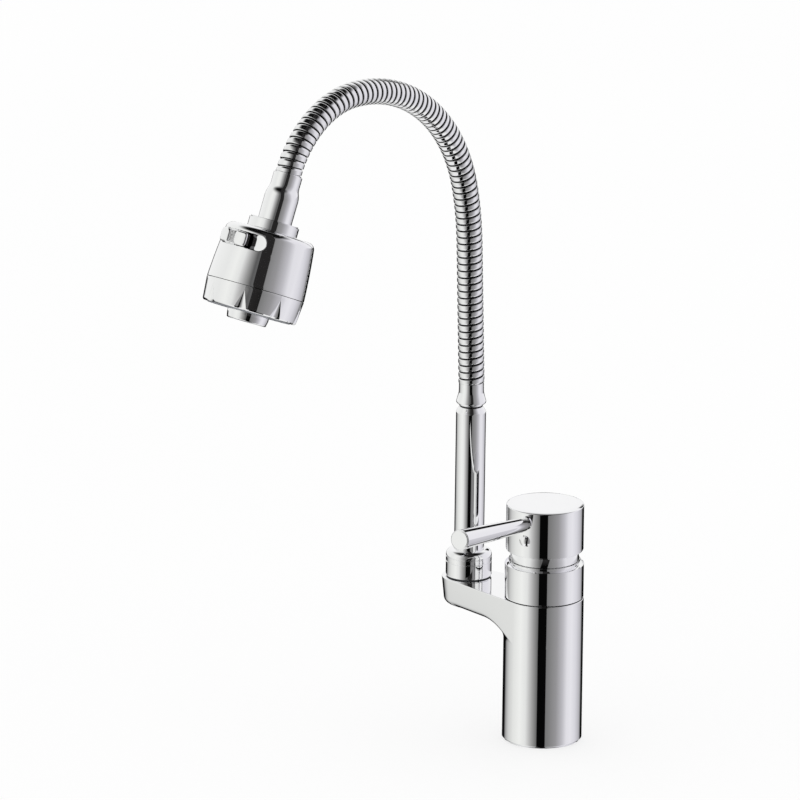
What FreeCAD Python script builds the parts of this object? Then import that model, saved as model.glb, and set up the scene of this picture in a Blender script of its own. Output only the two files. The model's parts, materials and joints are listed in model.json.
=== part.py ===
import FreeCAD, Part
import math
import os

# Gooseneck bar faucet, in millimetres. The origin is on the body's axis at its foot, +Z is up,
# the side arm runs along -X, and the lever and the spout point to -Y, the user's side.

V = FreeCAD.Vector

# ---- driving dimensions ------------------------------------------------------------------
BODY_R = 23.0                # radius of the upright body
BODY_TOP = 85.4              # height of the body's and the arm's top face
FOOT_ROUND = 3.0             # rounding of the body's lower edge
RECESS_R = 17.5              # hollow in the foot, where the supply hoses enter
RECESS_DEPTH = 20.0
STUD_R = 3.35                # threaded hole for the M8 fixing stud
STUD_DEPTH = 14.0
INLET_R = 4.5                # threaded hole for an M10x1 supply hose
INLET_DEPTH = 12.0
INLET_X = 9.5                # the two inlets stand either side of the stud
CHANNEL_R = 3.0              # waterways in the body
GASKET_R = 19.4              # centre radius of the foot's sealing ring
GASKET_WIDTH = 1.0
GASKET_HEIGHT = 2.0

ARM_LENGTH = 58.5            # from the body's axis to the spout's axis
ARM_END_R = 15.4
ARM_THICK = 16.2
ARM_FILLET = 9.0             # hollow blend between the arm and the body
ARM_ROUND = 4.0              # rounding of the arm's lower edge
ARM_SET_IN = 0.4             # the arm's sides meet the body this far inside their tangent

CARTRIDGE_R = 17.5           # ceramic-disc cartridge
CAVITY_FLOOR = 72.0
CAVITY_GAP = 0.3             # round the cartridge, in its cavity
NUT_THREAD_R = 19.0          # thread that holds the cartridge nut
NUT_FOOT = 86.5
NECK_TOP = 93.2              # top of the body's threaded neck
NECK_R = 20.8
SEAM = 0.35                  # fine gap that shows between two turned pieces

BONNET_R = 22.8
BONNET_TOP = 107.9
BONNET_ROUND = 2.3
PIVOT_Z = 107.4              # height of the handle's tilting axis
BALL_R = 20.0                # ball-shaped skirt of the handle
BALL_GAP = 0.28              # between the ball and the bonnet's mouth
BALL_WALL = 1.8
BALL_FOOT_ANGLE = 23.0       # how far the skirt reaches below the pivot, in degrees

CAP_R = 22.4
CAP_FOOT = 113.9
CAP_TOP = 141.5
CAP_POCKET_TOP = 128.0
LEVER_TURN = 10.3            # the lever points this far from -Y towards +X at rest, in degrees
LEVER_Z = 134.0              # where its axis leaves the cap
LEVER_RISE = 6.9             # slope of its axis, in degrees
LEVER_LENGTH = 72.1          # outside the cap
LEVER_ROOT_R = 4.15
LEVER_TIP_R = 6.0
LEVER_THREAD_R = 3.0
LEVER_THREAD = 14.0
INDEX_Z = 124.0              # plug below the lever
INDEX_R = 3.9

STEM_SIDE = 8.0              # square shank of the cartridge's stem
STEM_TOP = 126.0
PIN_R = 1.5
DISC_SHIFT = 2.0             # the moving disc's offset at rest, away from the lever
BALL_END_R = 2.9             # ball end of the stem, in the moving disc's carrier
BALL_END_Z = 93.2

COLLAR_R = 13.25             # swivel collar at the foot of the spout
COLLAR_TOP = 101.8
COLLAR_LINES = (94.4, 97.5)   # lower edges of its two fine grooves
COLLAR_LINE = 0.3
SPIGOT_R = 9.9
SPIGOT_FOOT = 75.2
RUN = 0.07                   # radial running clearance
RISER_R = 8.65
RISER_WALL = 1.0
RISER_TOP = 186.1            # the swaged end, in the V-shaped groove
GROOVE_R = 6.7
FERRULE_TOP = 201.7          # where the flexible hose starts

HOSE_R = 7.95                # crest of the hose's ribs
HOSE_GROOVE_R = 6.75
HOSE_BORE_R = 5.9
RIBS_PER_PIECE = (16, 16, 15, 15, 16)
HOSE_LEAN = 2.4              # the hose starts this far from upright, in degrees
HOSE_STRAIGHT = 83.6
HOSE_BENDS = ((190.5, 10.2), (96.0, 31.3), (100.7, 46.5), (58.5, 66.6))   # radius, turn
FLEX_GAP = 1.3               # open groove at each flexing place
LIP = 1.1                    # length of the lip inside it, past the hinge
LIP_ROOM = 2.4               # depth of the counterbore that the lip enters
HOSE_SEAT = 0.35             # gap between the hose's end and its ferrule
FERRULE_SPIGOT_R = 5.62      # spigots of the two ferrules, inside the hose
FERRULE_SPIGOT = 4.3
INNER_HOSE_R = 5.1
INNER_HOSE_BORE = 3.4

NECK_FLARE_R = 9.85          # lower end of the upper ferrule
HEAD_NUT_R = 14.65
HEAD_NUT_TOP = 28.4          # measured along the head's axis from the end of the hose
SHELL_TOP = 34.9
SHELL_SEAM = 68.4
RING_FOOT = 82.4
OUTLET_FOOT = 88.1
SHELL_TOP_R = 25.7
SHELL_SEAM_R = 28.75
RING_FOOT_R = 27.7
SHELL_WALL = 2.2
SHELL_BORE_R = 24.75         # inside of the barrel, below the selector
OUTLET_R = 12.2
NOZZLE_END = 83.5
NOTCHES = 8
NOTCH_TURN = 6.0             # of the notches about the head's axis, in degrees
SLOT_HALF_ANGLE = 46.0       # the selector's slot, either side of the front
SLOT_TOP = 36.6
SLOT_FOOT = 45.6
SLOT_FLOOR_R = 23.3
BUTTON_HALF_ANGLE = 25.0
BUTTON_R = 30.3
BUTTON_ROUND = 1.3
BUTTON_TRAVEL = 14.0         # either side of the front
BUTTON_REST = -6.5           # where it stands in the photo's setting
GRIP_HALF_ANGLE = 4.2        # ribbed grip between the button's two pads
GRIP_DEPTH = 1.5
GRIP_RIBS = 5
GRIP_RIB = 0.45
BUTTON_STEM = (39.6, 42.4)   # top and foot of the stem that drives the sleeve
STEM_HALF_ANGLE = 3.2
SLEEVE_R = 21.2              # selector sleeve, behind the slot
SLEEVE_WALL = 2.2
SEAT_TOP = 49.6              # fixed valve seat under the sleeve
PORT_R = 2.1
STREAM_PORT = 7.0            # radius at which each mode's port stands in the seat
SPRAY_PORT = SLEEVE_R - 5.2

ROUTE_PITCH = (HOSE_STRAIGHT + sum(math.radians(t) * r for r, t in HOSE_BENDS)) / sum(RIBS_PER_PIECE)
RIB_RAMP = 1.3               # length of the sloping side of a rib
RIB_STEP = 0.15              # length of its steep side

CARTRIDGE_TOP = 97.0
BASE_TOP = 80.0
DISC_TOP = 84.5
MOVING_TOP = 88.0
CARRIER_TOP = 93.0
TURRET_TOP = 111.0
UPPER_R = 13.8
TURRET_R = 10.4

PARTS = "parts"


# ---- helpers -----------------------------------------------------------------------------
def outline(points):
    """Closed wire in the XZ plane. (r, z) is a straight run to that point, and
    (r, z, rm, zm) an arc to (r, z) through (rm, zm)."""
    edges = []
    last = V(points[0][0], 0, points[0][1])
    for p in list(points[1:]) + [points[0][:2]]:
        end = V(p[0], 0, p[1])
        if end.distanceToPoint(last) < 1e-6:
            continue
        if len(p) == 4:
            edges.append(Part.Arc(last, V(p[2], 0, p[3]), end).toShape())
        else:
            edges.append(Part.LineSegment(last, end).toShape())
        last = end
    return Part.Wire(edges)


def turned(points, angle=360.0):
    """Solid of revolution about the Z axis."""
    return Part.Face(outline(points)).revolve(V(0, 0, 0), V(0, 0, 1), angle)


def tube(outer, inner, low, high):
    return turned([(inner, low), (outer, low), (outer, high), (inner, high)])


def rod(radius, start, end):
    """Cylinder between two points."""
    line = end - start
    return Part.makeCylinder(radius, line.Length, start, line)


def o_ring(centre_r, section_r, z):
    return Part.makeTorus(centre_r, section_r, V(0, 0, z))


def corner(cx, cz, radius, start, end):
    """Arc item for outline(): a quarter or less of a circle, from start to end in degrees."""
    mid = math.radians((start + end) / 2)
    stop = math.radians(end)
    return (cx + radius * math.cos(stop), cz + radius * math.sin(stop),
            cx + radius * math.cos(mid), cz + radius * math.sin(mid))


def sector(half_angle, radius, low, high):
    """Wedge about the Z axis, centred on -Y."""
    a = math.radians(half_angle)
    tip = radius / math.cos(a)
    wire = Part.makePolygon([V(0, 0, low), V(-tip * math.sin(a), -tip * math.cos(a), low),
                             V(tip * math.sin(a), -tip * math.cos(a), low), V(0, 0, low)])
    return Part.Face(wire).extrude(V(0, 0, high - low))


def turn_to_lever(shape):
    """Turns a shape made towards -Y to the lever's side."""
    shape.rotate(V(0, 0, 0), V(0, 0, 1), LEVER_TURN)
    return shape


def at_spout(shape):
    shape.translate(V(-ARM_LENGTH, 0, 0))
    return shape


def save(name, shape):
    solids = shape.Solids
    out = solids[0] if len(solids) == 1 else Part.Compound(solids)
    assert out.isValid(), name
    out.exportStep(f"{PARTS}/{name}.step")


# ---- body and arm ------------------------------------------------------------------------
def plan_hull(low, high):
    """Upright prism whose plan is the body's circle and the arm's end, joined by tangents."""
    near_r = BODY_R - ARM_SET_IN
    a = math.acos((near_r - ARM_END_R) / ARM_LENGTH)

    def tangent(cx, radius, side):
        ang = math.pi - side * a
        return V(cx + radius * math.cos(ang), radius * math.sin(ang), low)

    b1 = tangent(0, near_r, 1)
    b2 = tangent(0, near_r, -1)
    e1 = tangent(-ARM_LENGTH, ARM_END_R, 1)
    e2 = tangent(-ARM_LENGTH, ARM_END_R, -1)
    wire = Part.Wire([
        Part.LineSegment(b1, e1).toShape(),
        Part.Arc(e1, V(-ARM_LENGTH - ARM_END_R, 0, low), e2).toShape(),
        Part.LineSegment(e2, b2).toShape(),
        Part.Arc(b2, V(near_r, 0, low), b1).toShape()])
    return Part.Face(wire).extrude(V(0, 0, high - low))


def body_casting():
    arm_foot = BODY_TOP - ARM_THICK
    blend_foot = arm_foot - ARM_FILLET
    reach = ARM_LENGTH + ARM_END_R + 10
    above = turned([(0, 0), (BODY_R, 0), (BODY_R, blend_foot),
                    corner(BODY_R + ARM_FILLET, blend_foot, ARM_FILLET, 180, 90),
                    (reach, arm_foot), (reach, BODY_TOP), (0, BODY_TOP)])
    arm = plan_hull(blend_foot - 5, BODY_TOP).common(above)
    upright = Part.makeCylinder(BODY_R, BODY_TOP)
    body = arm.fuse(upright).removeSplitter()
    lower = [e for e in body.Edges
             if arm_foot - 0.01 < e.BoundBox.ZMin and e.BoundBox.ZMax < arm_foot + 0.01
             and math.hypot(e.CenterOfMass.x, e.CenterOfMass.y) > BODY_R + ARM_FILLET]
    body = body.makeFillet(ARM_ROUND, lower)
    foot = [e for e in body.Edges if e.BoundBox.ZMax < 0.01]
    body = body.makeFillet(FOOT_ROUND, foot)
    # threaded neck for the bonnet, and a fine seam under it
    body = body.fuse(Part.makeCylinder(NECK_R, NECK_TOP - BODY_TOP + 1, V(0, 0, BODY_TOP - 1)))
    # cartridge cavity and its thread
    body = body.cut(Part.makeCylinder(CARTRIDGE_R + CAVITY_GAP, 40, V(0, 0, CAVITY_FLOOR)))
    body = body.cut(Part.makeCylinder(NUT_THREAD_R, 40, V(0, 0, NUT_FOOT - 0.5)))
    # foot recess, stud and inlet holes, ring groove
    body = body.cut(Part.makeCylinder(RECESS_R, RECESS_DEPTH + 1, V(0, 0, -1)))
    body = body.cut(Part.makeCylinder(STUD_R, STUD_DEPTH, V(0, 0, RECESS_DEPTH)))
    for side in (-1, 1):
        foot_point = V(side * INLET_X, 0, RECESS_DEPTH)
        body = body.cut(Part.makeCylinder(INLET_R, INLET_DEPTH, foot_point))
        body = body.cut(rod(CHANNEL_R, foot_point, V(side * INLET_X, 0, CAVITY_FLOOR + 1)))
        peg = V(0, side * 13.5, CAVITY_FLOOR - 2.5)
        body = body.cut(Part.makeCylinder(1.8, 5, peg))
    body = body.cut(tube(GASKET_R + GASKET_WIDTH / 2, GASKET_R - GASKET_WIDTH / 2 - 0.1,
                         -1, GASKET_HEIGHT + 0.2))
    # outlet waterway along the arm to the spout's socket
    socket_foot = SPIGOT_FOOT - 1.5
    body = body.cut(rod(CHANNEL_R - 0.2, V(-CARTRIDGE_R + 1, 0, SPIGOT_FOOT + 2.0),
                        V(-ARM_LENGTH, 0, SPIGOT_FOOT + 2.0)))
    socket = Part.makeCylinder(SPIGOT_R + RUN, 30, V(-ARM_LENGTH, 0, socket_foot))
    ring_groove = at_spout(tube(SPIGOT_R + 1.2, SPIGOT_R - 2, 83.0, 84.4))
    return body.cut(socket).cut(ring_groove)


def base_gasket():
    low = GASKET_R - GASKET_WIDTH / 2
    high = GASKET_R + GASKET_WIDTH / 2 - 0.1
    return tube(high, low, 0, GASKET_HEIGHT)


def swivel_washer():
    return at_spout(tube(COLLAR_R - 0.5, SPIGOT_R + 0.3, BODY_TOP, BODY_TOP + 0.6))


def snap_ring():
    ring = tube(SPIGOT_R + 1.1, SPIGOT_R - 0.6, 83.1, 84.3)
    gap = Part.makeBox(3, 20, 5, V(-1.5, 0, 81))
    return at_spout(ring.cut(gap))


# ---- cartridge ---------------------------------------------------------------------------
def cartridge_base():
    base = tube(CARTRIDGE_R, 0.0, CAVITY_FLOOR + 0.4, BASE_TOP)
    base = base.cut(rod(CHANNEL_R, V(INLET_X, 0, 0), V(INLET_X, 0, 100)))
    base = base.cut(rod(CHANNEL_R, V(-INLET_X, 0, 0), V(-INLET_X, 0, 100)))
    outlet = V(0, -8.5, BASE_TOP - 4.5)
    base = base.cut(rod(CHANNEL_R - 0.2, outlet, V(0, -8.5, 100)))
    base = base.cut(rod(2.6, V(0, 6.5, BASE_TOP - 3.0), V(-30, 6.5, BASE_TOP - 3.0)))
    base = base.cut(rod(2.6, V(0, 6.5, BASE_TOP - 3.0), V(0, 6.5, 100)))
    for side in (-1, 1):
        peg = Part.makeCylinder(1.6, 3, V(0, side * 13.5, CAVITY_FLOOR - 2))
        base = base.fuse(peg)
        groove = tube(5.1, CHANNEL_R - 0.5, CAVITY_FLOOR, CAVITY_FLOOR + 1.3)
        groove.translate(V(side * INLET_X, 0, 0))
        base = base.cut(groove)
    return base


def cartridge_seal(side):
    ring = o_ring(4.1, 0.62, CAVITY_FLOOR + 0.63)
    ring.translate(V(side * INLET_X, 0, 0))
    return ring


def fixed_disc():
    disc = Part.makeCylinder(13.2, DISC_TOP - BASE_TOP, V(0, 0, BASE_TOP))
    for x, y in ((INLET_X, 0), (-INLET_X, 0), (0, -8.5), (0, 6.5)):
        disc = disc.cut(Part.makeCylinder(2.4, 10, V(x, y, BASE_TOP - 1)))
    return disc


def cartridge_housing():
    return turned([(13.5, BASE_TOP), (CARTRIDGE_R, BASE_TOP), (CARTRIDGE_R, NUT_FOOT),
                   (UPPER_R, NUT_FOOT), (UPPER_R, CARTRIDGE_TOP - 0.8), (UPPER_R - 0.8, CARTRIDGE_TOP),
                   (TURRET_R + 0.2, CARTRIDGE_TOP), (TURRET_R + 0.2, CARTRIDGE_TOP - 1.4),
                   (12.6, CARTRIDGE_TOP - 1.4), (12.6, DISC_TOP + 0.1), (13.5, DISC_TOP + 0.1)])


def cartridge_nut():
    nut = tube(NUT_THREAD_R - 0.05, UPPER_R + 0.2, NUT_FOOT, NECK_TOP)
    for i in range(4):
        slot = Part.makeBox(3.2, 10, 3, V(-1.6, UPPER_R, NECK_TOP - 2.2))
        slot.rotate(V(0, 0, 0), V(0, 0, 1), 45 + 90 * i)
        nut = nut.cut(slot)
    return nut


def bonnet():
    mouth = BALL_R + BALL_GAP
    low = BODY_TOP + SEAM
    return turned([(NECK_R + 0.05, low), (BONNET_R - 0.3, low), (BONNET_R, low + 0.3),
                   (BONNET_R, BONNET_TOP - BONNET_ROUND),
                   corner(BONNET_R - BONNET_ROUND, BONNET_TOP - BONNET_ROUND, BONNET_ROUND, 0, 90),
                   (mouth, BONNET_TOP), (mouth, NECK_TOP + 5), (NECK_R + 0.05, NECK_TOP + 4)])


# ---- turning and sliding pieces of the cartridge -----------------------------------------
def cartridge_turret():
    flange_low = CARRIER_TOP + 0.3
    flange_high = CARTRIDGE_TOP - 1.6
    turret = turned([(0, flange_low), (12.3, flange_low), (12.3, flange_high), (TURRET_R, flange_high),
                     (TURRET_R, TURRET_TOP - 1), (TURRET_R - 1, TURRET_TOP), (0, TURRET_TOP)])
    # slot in which the stem rocks towards and away from the lever
    slot = Part.makeBox(STEM_SIDE + 0.3, 17.5, 40, V(-STEM_SIDE / 2 - 0.15, -8.75, flange_low - 5))
    hole = rod(PIN_R, V(-20, 0, PIVOT_Z), V(20, 0, PIVOT_Z))
    return turn_to_lever(turret.cut(slot).cut(hole))


def pivot_pin():
    return turn_to_lever(rod(PIN_R, V(-9.5, 0, PIVOT_Z), V(9.5, 0, PIVOT_Z)))


def moving_disc():
    disc = Part.makeCylinder(10.2, MOVING_TOP - DISC_TOP - 0.02, V(0, DISC_SHIFT, DISC_TOP + 0.02))
    pocket = Part.makeCylinder(5.5, 2.0, V(0, DISC_SHIFT, DISC_TOP))
    return turn_to_lever(disc.cut(pocket))


def disc_carrier():
    carrier = Part.makeCylinder(9.9, CARRIER_TOP - MOVING_TOP, V(0, DISC_SHIFT, MOVING_TOP))
    half = BALL_END_R + 0.25
    socket = Part.makeBox(2 * half, 2 * half, 10, V(-half, -half, BALL_END_Z - BALL_END_R - 1.0))
    return turn_to_lever(carrier.cut(socket))


# ---- handle ------------------------------------------------------------------------------
def cartridge_stem():
    half = STEM_SIDE / 2
    shank = Part.makeBox(STEM_SIDE, STEM_SIDE, STEM_TOP - PIVOT_Z + 5, V(-half, -half, PIVOT_Z - 5))
    lower = rod(BALL_END_R - 0.4, V(0, 0, PIVOT_Z - 4.5), V(0, 0, BALL_END_Z))
    ball = Part.makeSphere(BALL_END_R, V(0, 0, BALL_END_Z))
    stem = shank.fuse(lower).fuse(ball)
    stem = stem.cut(rod(PIN_R + 0.05, V(-20, 0, PIVOT_Z), V(20, 0, PIVOT_Z)))
    return turn_to_lever(stem)


def lever_line(distance):
    """Point on the lever's axis, before it is turned to its side: distance from the cap's wall."""
    a = math.radians(LEVER_RISE)
    return V(0, -CAP_R - distance * math.cos(a), LEVER_Z + distance * math.sin(a))


def handle_cap():
    foot = math.radians(-BALL_FOOT_ANGLE)
    inner = BALL_R - BALL_WALL
    join = CAP_FOOT - PIVOT_Z
    ball_at_cap = math.sqrt(BALL_R ** 2 - join ** 2)
    mid_angle = (foot + math.asin(join / BALL_R)) / 2
    ceiling = 118.0 - PIVOT_Z
    in_at_ceiling = math.sqrt(inner ** 2 - ceiling ** 2)
    in_mid = (foot + math.asin(ceiling / inner)) / 2
    cap = turned([
        (0, 118.0), (in_at_ceiling, 118.0),
        (inner * math.cos(foot), PIVOT_Z + inner * math.sin(foot),
         inner * math.cos(in_mid), PIVOT_Z + inner * math.sin(in_mid)),
        (BALL_R * math.cos(foot), PIVOT_Z + BALL_R * math.sin(foot)),
        (ball_at_cap, CAP_FOOT,
         BALL_R * math.cos(mid_angle), PIVOT_Z + BALL_R * math.sin(mid_angle)),
        (CAP_R - 0.4, CAP_FOOT), (CAP_R, CAP_FOOT + 0.4), (CAP_R, CAP_TOP - 0.4),
        corner(CAP_R - 0.4, CAP_TOP - 0.4, 0.4, 0, 90), (0, CAP_TOP)])
    # lightening pocket, left solid on the lever's side
    pocket = tube(19.6, 9.5, 117.0, CAP_POCKET_TOP)
    pocket = pocket.cut(sector(35, 40, 110, 135))
    cap = cap.cut(pocket)
    side = STEM_SIDE + 0.1
    cap = cap.cut(Part.makeBox(side, side, STEM_TOP + 0.3 - 110, V(-side / 2, -side / 2, 110)))
    cap = cap.cut(rod(LEVER_THREAD_R, lever_line(-LEVER_THREAD - 1), lever_line(2)))
    cap = cap.cut(rod(2.5, V(0, 0, INDEX_Z), V(0, -40, INDEX_Z)))
    cap = cap.cut(rod(INDEX_R, V(0, -CAP_R + 3.0, INDEX_Z), V(0, -40, INDEX_Z)))
    return turn_to_lever(cap)


def lever_rod():
    """Turned rod: threaded shank, narrow root, body that widens to a flat tip."""
    length = LEVER_LENGTH
    profile = turned([
        (0, -LEVER_THREAD), (LEVER_THREAD_R, -LEVER_THREAD), (LEVER_THREAD_R, 0.6),
        (LEVER_ROOT_R - 0.6, 0.6), (LEVER_ROOT_R - 0.6, 2.0), (LEVER_ROOT_R, 2.8),
        (LEVER_TIP_R, length - 0.5), (LEVER_TIP_R - 0.5, length), (0, length)])
    profile.rotate(V(0, 0, 0), V(1, 0, 0), 90 - LEVER_RISE)
    start = lever_line(0)
    profile.translate(start)
    return turn_to_lever(profile)


def handle_set_screw():
    screw = rod(2.45, V(0, -STEM_SIDE / 2 - 0.02, INDEX_Z), V(0, -12.0, INDEX_Z))
    hexagon = Part.makePolygon([V(1.44 * math.cos(math.radians(60 * i)), -12.5,
                                  INDEX_Z + 1.44 * math.sin(math.radians(60 * i)))
                                for i in range(7)])
    key = Part.Face(hexagon).extrude(V(0, 3.5, 0))
    return turn_to_lever(screw.cut(key))


def index_cap():
    """Domed plug over the set screw."""
    dome = turned([(0, 0), (2.3, 0), (2.3, 3.2), (INDEX_R - 0.05, 3.2), (INDEX_R - 0.05, 5.9),
                   (0.3, 7.38, INDEX_R * 0.62, 6.95), (0, 7.38)])
    dome.rotate(V(0, 0, 0), V(1, 0, 0), 90)
    dome.translate(V(0, -CAP_R + 6.1, INDEX_Z))
    return turn_to_lever(dome)


# ---- spout, up to the hose ---------------------------------------------------------------
def collar_lines():
    """Two fine grooves round the collar, as points of its profile."""
    points = []
    for z in COLLAR_LINES:
        points += [(COLLAR_R, z - 0.15), (COLLAR_R - 0.27, z), (COLLAR_R - 0.27, z + COLLAR_LINE),
                   (COLLAR_R, z + COLLAR_LINE + 0.15)]
    return points


def swivel_collar():
    low = BODY_TOP + 0.65
    nose_r = SPIGOT_R - 1.7
    collar = turned([
        (6.4, SPIGOT_FOOT), (nose_r, SPIGOT_FOOT), (nose_r, 80.2), (SPIGOT_R, 80.2),
        (SPIGOT_R, 80.5), (8.35, 80.5), (8.35, 82.1), (SPIGOT_R, 82.1), (SPIGOT_R, 83.0),
        (SPIGOT_R - 0.7, 83.0), (SPIGOT_R - 0.7, 84.4), (SPIGOT_R, 84.4), (SPIGOT_R, low),
        (COLLAR_R - 0.3, low), (COLLAR_R, low + 0.3), *collar_lines(),
        (COLLAR_R - 1.65, COLLAR_TOP - 0.5, COLLAR_R - 0.5, COLLAR_TOP - 1.9),
        (RISER_R, COLLAR_TOP), (RISER_R, 90.0), (6.4, 88.0)])
    return at_spout(collar)


def spigot_o_ring():
    return at_spout(o_ring(9.15, 0.77, 81.3))


def riser_tube():
    inner = RISER_R - RISER_WALL
    taper_foot = RISER_TOP - 3.2
    return at_spout(turned([
        (inner, 90.0), (RISER_R, 90.0), (RISER_R, taper_foot), (GROOVE_R, RISER_TOP),
        (GROOVE_R - 1.2, RISER_TOP), (inner, taper_foot - 1.6)]))


def lower_nipple():
    """Brass nipple inside the riser's swaged end, with barbs for the inner hose."""
    barb = INNER_HOSE_BORE - 0.05
    inner = RISER_R - RISER_WALL - 0.05
    profile = [(2.3, 168.0), (inner, 168.0), (inner, 171.0), (inner - 1.5, 171.0),
               (inner - 1.5, 172.8), (inner, 172.8), (inner, 180.9), (5.3, 185.5), (5.0, 189.5),
               (barb, 189.5)]
    for i in range(3):
        z = 191.0 + 3.4 * i
        profile += [(barb, z), (barb - 0.5, z + 0.1), (barb - 0.5, z + 0.8)]
    profile += [(barb, 202.0), (2.3, 202.0)]
    return at_spout(turned(profile))


def nipple_o_ring():
    return at_spout(o_ring(RISER_R - RISER_WALL - 0.79, 0.72, 171.9))


def lower_ferrule():
    low = RISER_TOP + 0.2
    return at_spout(turned([
        (5.35, low), (GROOVE_R, low), (8.6, low + 3.2), (8.6, low + 3.8),
        (7.25, 196.6, 7.55, 192.8), (7.25, FERRULE_TOP), (FERRULE_SPIGOT_R, FERRULE_TOP),
        (FERRULE_SPIGOT_R, FERRULE_TOP + FERRULE_SPIGOT), (INNER_HOSE_R + 0.2, FERRULE_TOP + FERRULE_SPIGOT),
        (INNER_HOSE_R + 0.2, 190.2)]))


# ---- flexible hose -----------------------------------------------------------------------
def hose_start():
    return V(-ARM_LENGTH, 0, FERRULE_TOP)


def hose_pieces():
    """The route as (length, curvature) pieces: a straight run and tangent arcs."""
    pieces = [(HOSE_STRAIGHT, 0.0)]
    for radius, turn in HOSE_BENDS:
        pieces.append((math.radians(turn) * radius, 1 / radius))
    return pieces


def hose_at(s):
    """Point on the hose's centre line and its heading from upright, in radians, at length s."""
    y = 0.0
    z = FERRULE_TOP
    heading = math.radians(HOSE_LEAN)
    pieces = hose_pieces()
    for i, (length, bend) in enumerate(pieces):
        step = min(s, length) if i < len(pieces) - 1 else s
        if bend == 0.0:
            y -= step * math.sin(heading)
            z += step * math.cos(heading)
        else:
            after = heading + step * bend
            y -= (math.cos(heading) - math.cos(after)) / bend
            z += (math.sin(after) - math.sin(heading)) / bend
            heading = after
        s -= step
        if s <= 0:
            break
    return V(-ARM_LENGTH, y, z), heading


def hose_direction(s):
    heading = hose_at(s)[1]
    return V(0, -math.sin(heading), math.cos(heading))


def hose_circle(s, radius):
    """Circle square to the route, with its first point always on the +X side."""
    point, heading = hose_at(s)
    circle = Part.Circle(V(0, 0, 0), V(0, 0, 1), radius).toShape()
    circle.Placement = FreeCAD.Placement(point, FreeCAD.Rotation(V(1, 0, 0), math.degrees(heading)))
    return Part.Wire([circle])


def hose_path(start, end):
    """Wire along the route from length start to length end."""
    edges = []
    ends = [0.0]
    for length, bend in hose_pieces():
        ends.append(ends[-1] + length)
    ends[0] = min(start, 0.0)
    ends[-1] = max(end, ends[-1])
    for low, high, (length, bend) in zip(ends, ends[1:], hose_pieces()):
        a = max(low, start)
        b = min(high, end)
        if b - a < 1e-6:
            continue
        if bend == 0.0:
            edges.append(Part.LineSegment(hose_at(a)[0], hose_at(b)[0]).toShape())
        else:
            edges.append(Part.Arc(hose_at(a)[0], hose_at((a + b) / 2)[0], hose_at(b)[0]).toShape())
    return Part.Wire(edges)


def swept(start, end, radius):
    return hose_path(start, end).makePipeShell([hose_circle(start, radius)], True, False)


def flex_places():
    """Lengths along the route where the hose bends most: one between each two pieces."""
    places = []
    ribs = 0
    for count in RIBS_PER_PIECE[:-1]:
        ribs += count
        places.append(ribs * ROUTE_PITCH + 0.4)
    return places


def gooseneck_piece(index):
    """Interlocked metal hose: each rib is a crest with one sloping and one steep side."""
    first = sum(RIBS_PER_PIECE[:index])
    last = first + RIBS_PER_PIECE[index]
    places = flex_places()
    low_end = index == 0
    high_end = index == len(RIBS_PER_PIECE) - 1
    circles = []
    for rib in range(first, last):
        s = rib * ROUTE_PITCH
        ramp_start = s + RIB_STEP
        ramp_r = HOSE_GROOVE_R
        crest_end = s + ROUTE_PITCH - RIB_STEP
        if rib == first and low_end:
            ramp_start = HOSE_SEAT
        elif rib == first:
            ramp_start = places[index - 1] + FLEX_GAP / 2
            share = (ramp_start - s - RIB_STEP) / RIB_RAMP
            ramp_r = HOSE_GROOVE_R + share * (HOSE_R - HOSE_GROOVE_R)
        if rib == last - 1 and not high_end:
            crest_end = places[index] - FLEX_GAP / 2
        circles.append(hose_circle(ramp_start, ramp_r))
        circles.append(hose_circle(s + RIB_STEP + RIB_RAMP, HOSE_R))
        circles.append(hose_circle(crest_end, HOSE_R))
        if rib < last - 1 or high_end:
            circles.append(hose_circle(s + ROUTE_PITCH, HOSE_GROOVE_R))
    hose = Part.makeLoft(circles, True, True)
    bore_end = last * ROUTE_PITCH + 1.0
    if not high_end:
        # lip that reaches into the next piece, so that the groove has a floor
        place = hose_at(places[index])[0]
        along = hose_direction(places[index])
        hose = hose.fuse(rod(HOSE_GROOVE_R - 0.05, place - along * 2.0, place + along * LIP))
        bore_end = places[index] + LIP + 1.0
    if not low_end:
        place = hose_at(places[index - 1])[0]
        along = hose_direction(places[index - 1])
        hose = hose.cut(rod(HOSE_GROOVE_R + 0.35, place - along * 3.0, place + along * LIP_ROOM))
    return hose.cut(swept(first * ROUTE_PITCH - 1.0, bore_end, HOSE_BORE_R))


def inner_hose():
    """Rubber water hose inside the metal one, from nipple to nipple."""
    end = sum(RIBS_PER_PIECE) * ROUTE_PITCH
    straight = FERRULE_TOP - 190.4
    upper = end + 14.0
    outer = swept(0, end, INNER_HOSE_R)
    bore = swept(0, end, INNER_HOSE_BORE)
    foot = V(-ARM_LENGTH, 0, FERRULE_TOP - straight)
    for radius, name in ((INNER_HOSE_R, "outer"), (INNER_HOSE_BORE, "bore")):
        low = rod(radius, foot, hose_start())
        tail = in_head(Part.makeCylinder(radius, upper - end, V(0, 0, end - upper)))
        joint = Part.makeSphere(radius, hose_start())
        whole = (outer if name == "outer" else bore).fuse(low).fuse(tail).fuse(joint)
        if name == "outer":
            outer = whole
        else:
            bore = whole
    return outer.cut(bore).removeSplitter()


# ---- spray head, made upright with the hose's end at the origin and its outlet down --------
def in_head(shape):
    point, heading = hose_at(sum(RIBS_PER_PIECE) * ROUTE_PITCH)
    tilt = math.degrees(heading) - 180
    shape.Placement = FreeCAD.Placement(point, FreeCAD.Rotation(V(1, 0, 0), tilt)).multiply(shape.Placement)
    return shape


def down(points):
    """Profile measured down the head's axis: (r, s) becomes (r, -s)."""
    flipped = []
    for p in points:
        flipped.append((p[0], -p[1]) if len(p) == 2 else (p[0], -p[1], p[2], -p[3]))
    return turned(flipped)


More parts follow.
